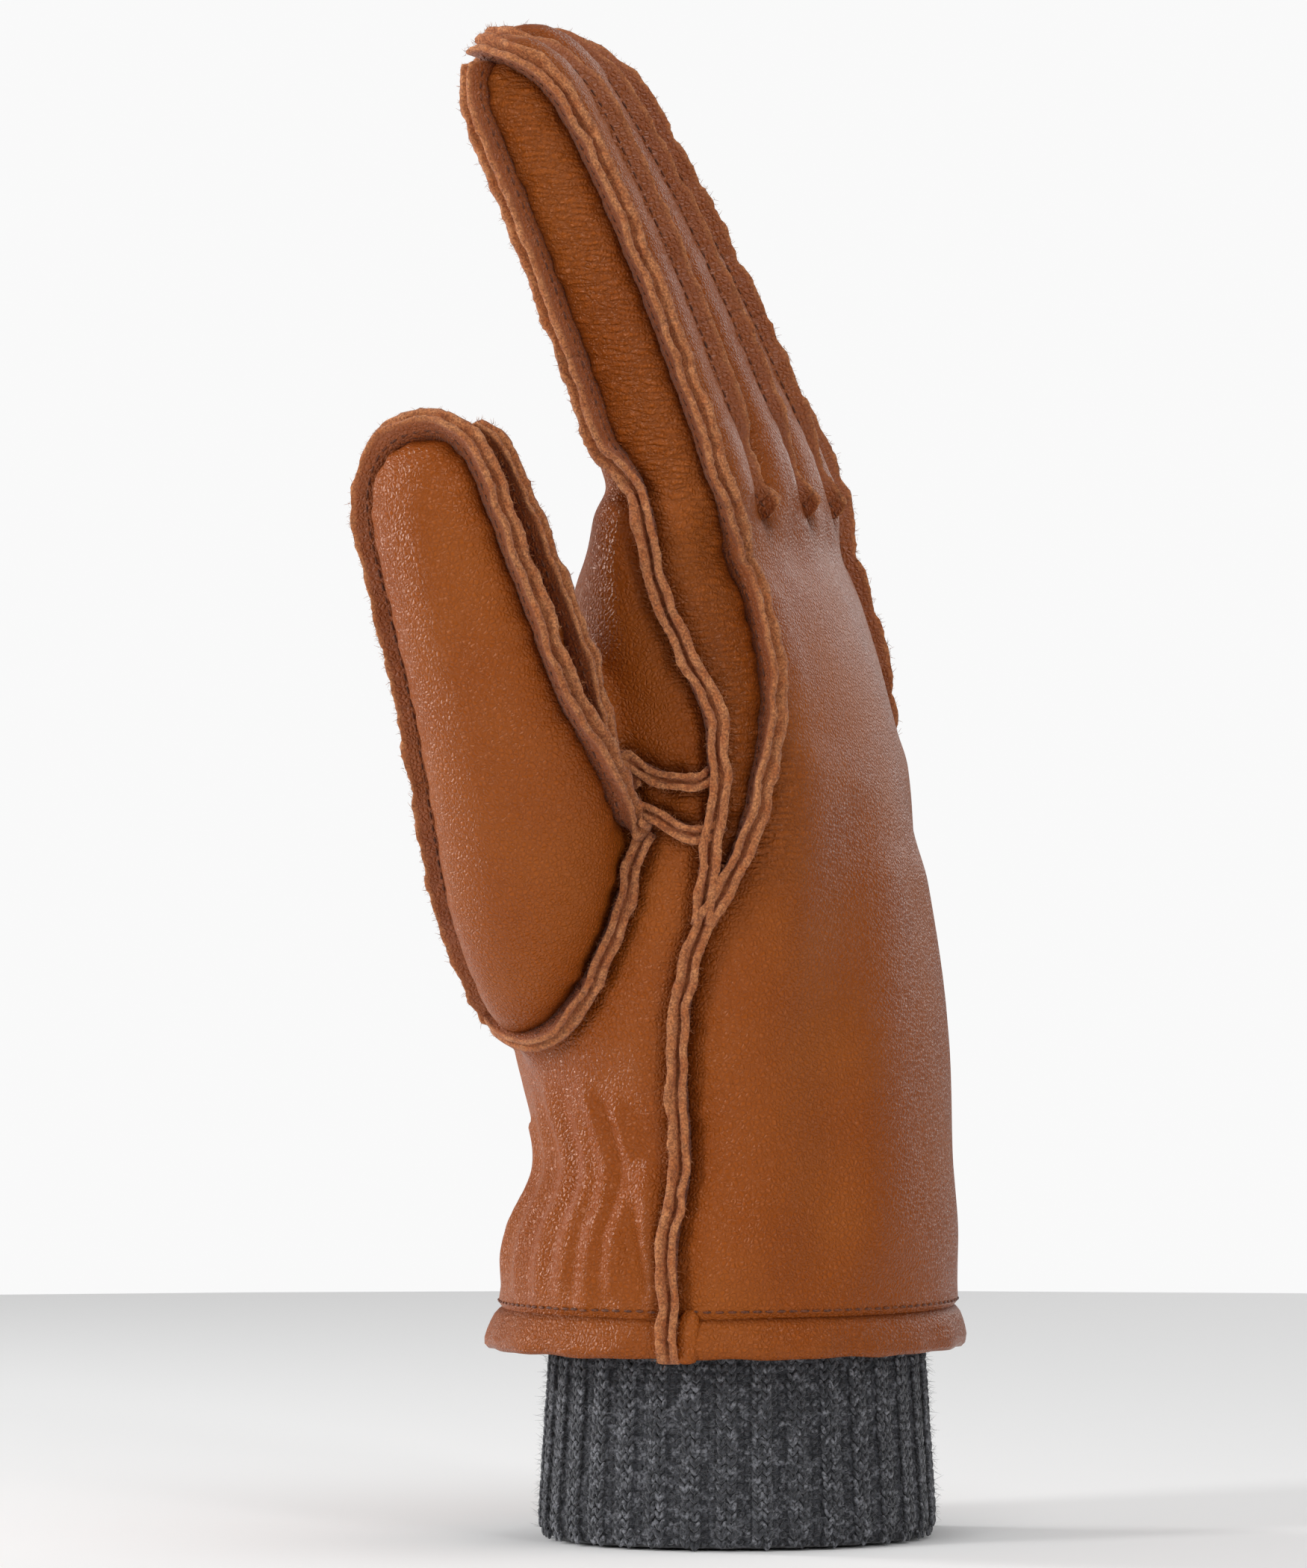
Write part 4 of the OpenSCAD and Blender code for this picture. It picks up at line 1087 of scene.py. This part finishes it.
def cuff_place(z, a, off):
    """A point of the cuff's outer surface, and the direction out of it. It opens into the hand's lining."""
    low = (4 - np.clip(z, 0, 4)) / 4
    soft = 3.0 * (1 - np.clip(z / 46, 0, 1)) - 0.6 - 2.8 * (1 - np.sqrt(np.clip(1 - low**2, 0, 1)))
    open_out = ramp((z - 40) / 14)
    inner = hand_point(np.clip(z, 41, ROOT_Z), a, -2.7 + off)
    a = np.radians(a)
    x, y = CUFF_X + soft + off, CUFF_Y + soft + off
    px = x * np.cos(a) * (1 - open_out) + inner[..., 0] * open_out
    py = -y * np.sin(a) * (1 - open_out) + inner[..., 1] * open_out
    out = unit(np.stack([np.cos(a) / x, -np.sin(a) / y, np.zeros_like(px)], -1))
    return np.stack([px, py, z + np.zeros_like(px)], -1), out


def rib_depth(a):
    """How far the knitting stands out at a round angle: two raised columns, then two sunk ones."""
    column = (a / 360 * RIBS) % 1.0
    return (0.45 + 0.12 * np.sin(a / 29)) * np.tanh(2.2 * np.sin(2 * np.pi * column)) - 0.25


def make_cuff(materials, knit_tree, fibre_tree):
    """The ribbed knit cuff: its wall, the legs of its plain stitches, its purl bumps and its loose fuzz."""
    knit = materials["knit"]
    around = RIBS * 12
    turns = np.arange(around) * 360 / around
    depth = rib_depth(turns)
    outer = np.concatenate([[0.15, 0.5, 1.0, 1.7, 2.6], np.arange(4, CUFF_TOP, 1.5)])
    levels = ([(z, depth) for z in outer] + [(z, depth * 0.5 - 2.5) for z in outer[::-1][:-3]]
              + [(0.55, depth * 0.5 - 1.6)])
    rings = np.stack([cuff_place(np.full(around, z), turns, off)[0] for z, off in levels])
    base = closed_band("cuff_base", rings)
    finish_piece(base, "hand", knit, "wool_knit", "rib_cuff")
    r = np.random.default_rng(21)
    rows = np.arange(1.0, 43, ROW)
    leg_tilt = math.radians(27)
    legs, bumps = ([], [], []), ([], [], [])
    for rib in range(RIBS):
        for column, raised in ((0.12, True), (0.38, True), (0.63, False), (0.88, False)):
            a = (rib + column) / RIBS * 360
            shift = r.uniform(-0.15, 0.15) + r.normal(0, 0.06, len(rows))
            z = np.clip(rows + shift + (0.1 * ROW if column in (0.38, 0.88) else 0), 0.6, 46)
            p, out = cuff_place(z, np.full(len(z), a) + r.normal(0, 0.1, len(z)), 0.62 if raised else -0.55)
            ahead = unit(np.cross(np.array([0, 0, 1.0]), out))
            for hand in (1, -1) if raised else (0,):
                way = (np.array([0, 0, math.cos(leg_tilt)]) + ahead * math.sin(leg_tilt) * hand if raised
                       else ahead + np.array([0, 0, 0.25]))
                way = way + r.normal(0, 0.07 if raised else 0.1, p.shape)
                for store, value in zip(legs if raised else bumps, (p + ahead * 0.4 * hand, way, out)):
                    store.append(value)
    half = len(legs[0]) // 2
    for k, part in enumerate((slice(0, half), slice(half, None))):
        plain = scatter(f"cuff_plain_stitches_{'ab'[k]}", knit_tree, *(np.concatenate(s[part]) for s in legs),
                        (0.86, 0.85, 2.05), 0.16, 3 + k, knit)
        finish_piece(plain, "hand", knit, "wool_knit")
    purls = scatter("cuff_purl_stitches", knit_tree, *(np.concatenate(s) for s in bumps), (1.0, 0.8, 1.5),
                    0.12, 5, knit)
    finish_piece(purls, "hand", knit, "wool_knit")
    n = 7000
    z, a = r.uniform(1.6, 33.5, n), r.uniform(0, 360, n)
    p, out = cuff_place(z, a, rib_depth(a) + 0.7)
    lean = unit(out * r.uniform(0.1, 0.8, (n, 1)) + r.normal(0, 0.8, (n, 3)))
    lean[z < 4, 2] = np.abs(lean[z < 4, 2])
    fuzz = scatter("cuff_fuzz", fibre_tree, p + lean * 0.3, lean, unit(r.normal(0, 1, (n, 3))),
                   (0.05, 0.05, 1.35), 0.5, 9, materials["fuzz"])
    finish_piece(fuzz, "hand", materials["fuzz"], "wool_knit")


# Out and up of the turned hem around the opening.
HEM = [(-1.5, 41.5), (-1.0, 41.05), (-0.35, 40.6), (0.25, 39.7), (0.55, 38.4), (0.65, 37.0), (0.6, 35.6),
       (0.25, 34.5), (-0.5, 33.8), (-1.3, 33.7), (-2.0, 34.2), (-2.4, 35.4), (-2.5, 38.5), (-2.5, 42),
       (-2.5, 45), (-2.1, 45.2), (-1.9, 44)]
# Height and share of size of the folded end of the hem beside a side seam.
TAB = [(33.0, 0.3), (33.3, 0.8), (34, 1), (35.5, 1), (37, 1), (38.5, 1), (40, 0.95), (41.2, 0.8), (42.4, 0.4)]


def make_hem(materials, skin, stitch_tree):
    """The turned hem around the opening, and the row of stitches just above it."""
    turns = np.arange(360) * 1.0
    girth = 270
    lengths = (girth / 9, girth / 14, girth / 23)
    r = np.random.default_rng(11)
    waves = [wave(turns / 360 * girth, lengths, r.uniform(0, 6, 3)) for _ in range(3)]
    rings = []
    for off, z in HEM:
        low = ramp((41 - z) / 6)
        heights = z + low * (0.25 * waves[0])
        rings.append(hand_point(np.clip(heights, 33, 60), turns, off + low * 0.3 * waves[1] + 0.1 * waves[2]))
        rings[-1][:, 2] = heights
    hem = closed_band("turned_hem", np.stack(rings))
    up = np.stack(rings)[..., 2].ravel()
    # Painted shade along the hem's top, where it tucks under the leather.
    give(hem, "valley_shade", hill(up, 41.2, 0.8))
    give(hem, "crease", 0.35 * np.ones(len(up)))
    finish_piece(hem, "hand", materials["leather"], "leather", "hem_facing")
    stitch_z = 42.1
    at = np.arange(0, 360, 360 / round(2 * math.pi * 43 / STITCH_PITCH))
    at = at[(np.abs(at - 87) > 2.6) & (np.abs(at - 273) > 2.6)]
    points = hand_point(stitch_z, at)
    ahead = unit(hand_point(stitch_z, at + 1) - points)
    placed, out = on_skin(skin, points)
    stitches = scatter("hem_stitches", stitch_tree, placed + out * 0.1, ahead, out, (0.5, 0.45, 1.7), 0.08, 2,
                       materials["thread"])
    finish_piece(stitches, "hand", materials["thread"], "thread", "hem_thread")


def make_side_tabs(materials):
    """The folded end of the hem beside each long side seam."""
    turns = np.radians(np.arange(14) * 360 / 14)
    for side, name in ((1, "index"), (-1, "little")):
        out = unit(hand_point(40, side * 83.3, 1) - hand_point(40, side * 83.3, 0))
        across = unit(np.cross([0, 0, 1.0], out))
        rings = []
        for z, size in TAB:
            middle = hand_point(max(z, HEM_Z), side * 84, 0.1)
            middle[2] = z
            rings.append(middle + 2.0 * size * power(np.cos(turns), 0.8)[:, None] * across
                         + 1.25 * size * power(np.sin(turns), 0.8)[:, None] * out)
        tab = new_object(name + "_side_tab", *closed_tube(np.stack(rings)))
        face_outwards(tab)
        finish_piece(tab, "hand", materials["leather"], "leather")


def on_skin(skin, points):
    """The nearest points of the skin, and the direction out of it at each."""
    tree = BVHTree.FromPolygons([Vector(p) for p in skin["points"]], skin["quads"].tolist())
    face_out = skin["normals"][skin["quads"]].mean(1)
    hits = [tree.find_nearest(Vector(p)) for p in points]
    return np.array([np.array(h[0]) for h in hits]), unit(np.array([face_out[h[2]] for h in hits]))


# --- Building the glove --------------------------------------------------------------------------------

def make_panels(materials, skin):
    """Each leather piece of the pattern, one object for each part that moves, and what lies inside it."""
    names, region = panel_of_faces(skin)
    quads = skin["quads"]
    for name in sorted(set(names)):
        mine = names == name
        piece = skin_sheet(name + "_leather", skin, quads[mine], 0, -LEATHER_T)
        finish_piece(piece, region[mine][0], materials["leather"], "leather", name)
    middle = skin["points"][quads].mean(1)
    up = middle[:, 2]
    for name in sorted(set(region)):
        mine = (region == name) & (up > 50)
        piece = skin_sheet(name + "_lining", skin, quads[mine], *LINING)
        node = "hand_liner" if name == "hand" else name.replace("_", "_liner_")
        finish_piece(piece, name, materials["knit"], "wool_knit", node)
    angle, _ = hand_places(middle)
    mine = (region == "hand") & (np.abs(up - 67.2) < 4.6) & (np.abs(angle) > 125)
    elastic = skin_sheet("wrist_elastic_band", skin, quads[mine], *ELASTIC)
    finish_piece(elastic, "hand", materials["elastic"], "elastic", "wrist_elastic")


def fluff_edges(name, all_rings, fibre_tree, material):
    """Short loose fibres along the raw tops of a part's seams."""
    r = np.random.default_rng(len(all_rings) + 40)
    top = np.array([3, 4, 5, 6, 9, 10, 11, 12])
    on_each_ring = 7
    places, ways = [], []
    for rings in all_rings:
        count = len(rings) * on_each_ring
        k, c = r.integers(0, len(rings), count), r.choice(top, count)
        middle = rings[k].mean(1)
        places.append(rings[k, c] + r.normal(0, 0.12, (count, 3)))
        ways.append(unit(unit(rings[k, c] - middle) * 0.5 + r.normal(0, 0.6, (count, 3))))
    places, ways = np.concatenate(places), np.concatenate(ways)
    fibres = scatter(name + "_edge_fibres", fibre_tree, places, ways, unit(r.normal(0, 1, ways.shape)),
                     (0.07, 0.07, 0.75), 0.5, 6, material)
    give(fibres, "raw", np.ones(len(fibres.data.vertices)))
    finish_piece(fibres, name, material, "leather")


def seam_parts(seam):
    """Rings of one seam's raised edges and marks for its stitches, each with the part that it moves with."""
    points, out = seam["points"], seam["out"]
    n = len(points)
    wide, tall = (np.full(n, size) for size in SEAM_SIZES.get(seam["name"], (1.0, 1.0)))
    rings = seam_shape(points, out, wide, tall, seam["seed"])
    region = region_of(points)
    # A change that lasts less than three rings is no change, and the ends go with their neighbours.
    for k in range(2, n - 2):
        if region[k] != region[k - 1] and (region[k:k + 3] != region[k]).any():
            region[k] = region[k - 1]
    region[:2], region[-2:] = region[2], region[-3]
    starts = [0] + [k for k in range(1, n) if region[k] != region[k - 1]] + [n - 1]
    edges = [(region[a], rings[a:b + 1]) for a, b in zip(starts[:-1], starts[1:]) if b > a]
    marks = stitch_marks(points, out, wide)
    mark_region = region_of(marks[0])
    return edges, [(name, [m[mark_region == name] for m in marks]) for name in set(mark_region)]


def make_seams(materials, skin, stitch_tree, fibre_tree):
    """The raised raw edges of every seam and the stitches at their foot, one object for each moving part."""
    all_edges, all_marks = {}, {}
    for seam in skin["seams"]:
        edges, marks = seam_parts(seam)
        for name, rings in edges:
            all_edges.setdefault(name, []).append(rings)
        for name, mine in marks:
            all_marks.setdefault(name, []).append(mine)
    for name, rings in sorted(all_edges.items()):
        edges = new_object(name + "_seam_edges", *joined(rings))
        face_outwards(edges)
        count = sum(len(part) for part in rings)
        give(edges, "raw", np.tile(RAW, count))
        # Painted shade in the groove between the seam's two raw edges.
        give(edges, "valley_shade", np.tile(GROOVE_SHADE, count))
        finish_piece(edges, name, materials["edge"], "leather")
        fluff_edges(name, rings, fibre_tree, materials["edge"])
        marks = [np.concatenate(m) for m in zip(*all_marks[name])]
        stitches = scatter(name + "_seam_stitches", stitch_tree, *marks, (0.45, 0.45, 1.6), 0.1, 4,
                           materials["thread"])
        finish_piece(stitches, name, materials["thread"], "thread")


set_camera()
set_studio()
materials = make_materials()
stitch_tree = marks_tree("sewn_stitches", 6, 4)
knit_tree = marks_tree("knitted_stitches", 6, 5)
fibre_tree = marks_tree("wool_fibres", 3, 1, tapered=True)
skin = shaped_skin()
make_panels(materials, skin)
make_seams(materials, skin, stitch_tree, fibre_tree)
make_hem(materials, skin, stitch_tree)
make_side_tabs(materials)
make_cuff(materials, knit_tree, fibre_tree)
for node, key in (("finger_webs", "leather"), ("index_touch_pad", "pad"), ("thumb_touch_pad", "pad")):
    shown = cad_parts[node]
    shown.data.materials.clear()
    shown.data.materials.append(materials[key])
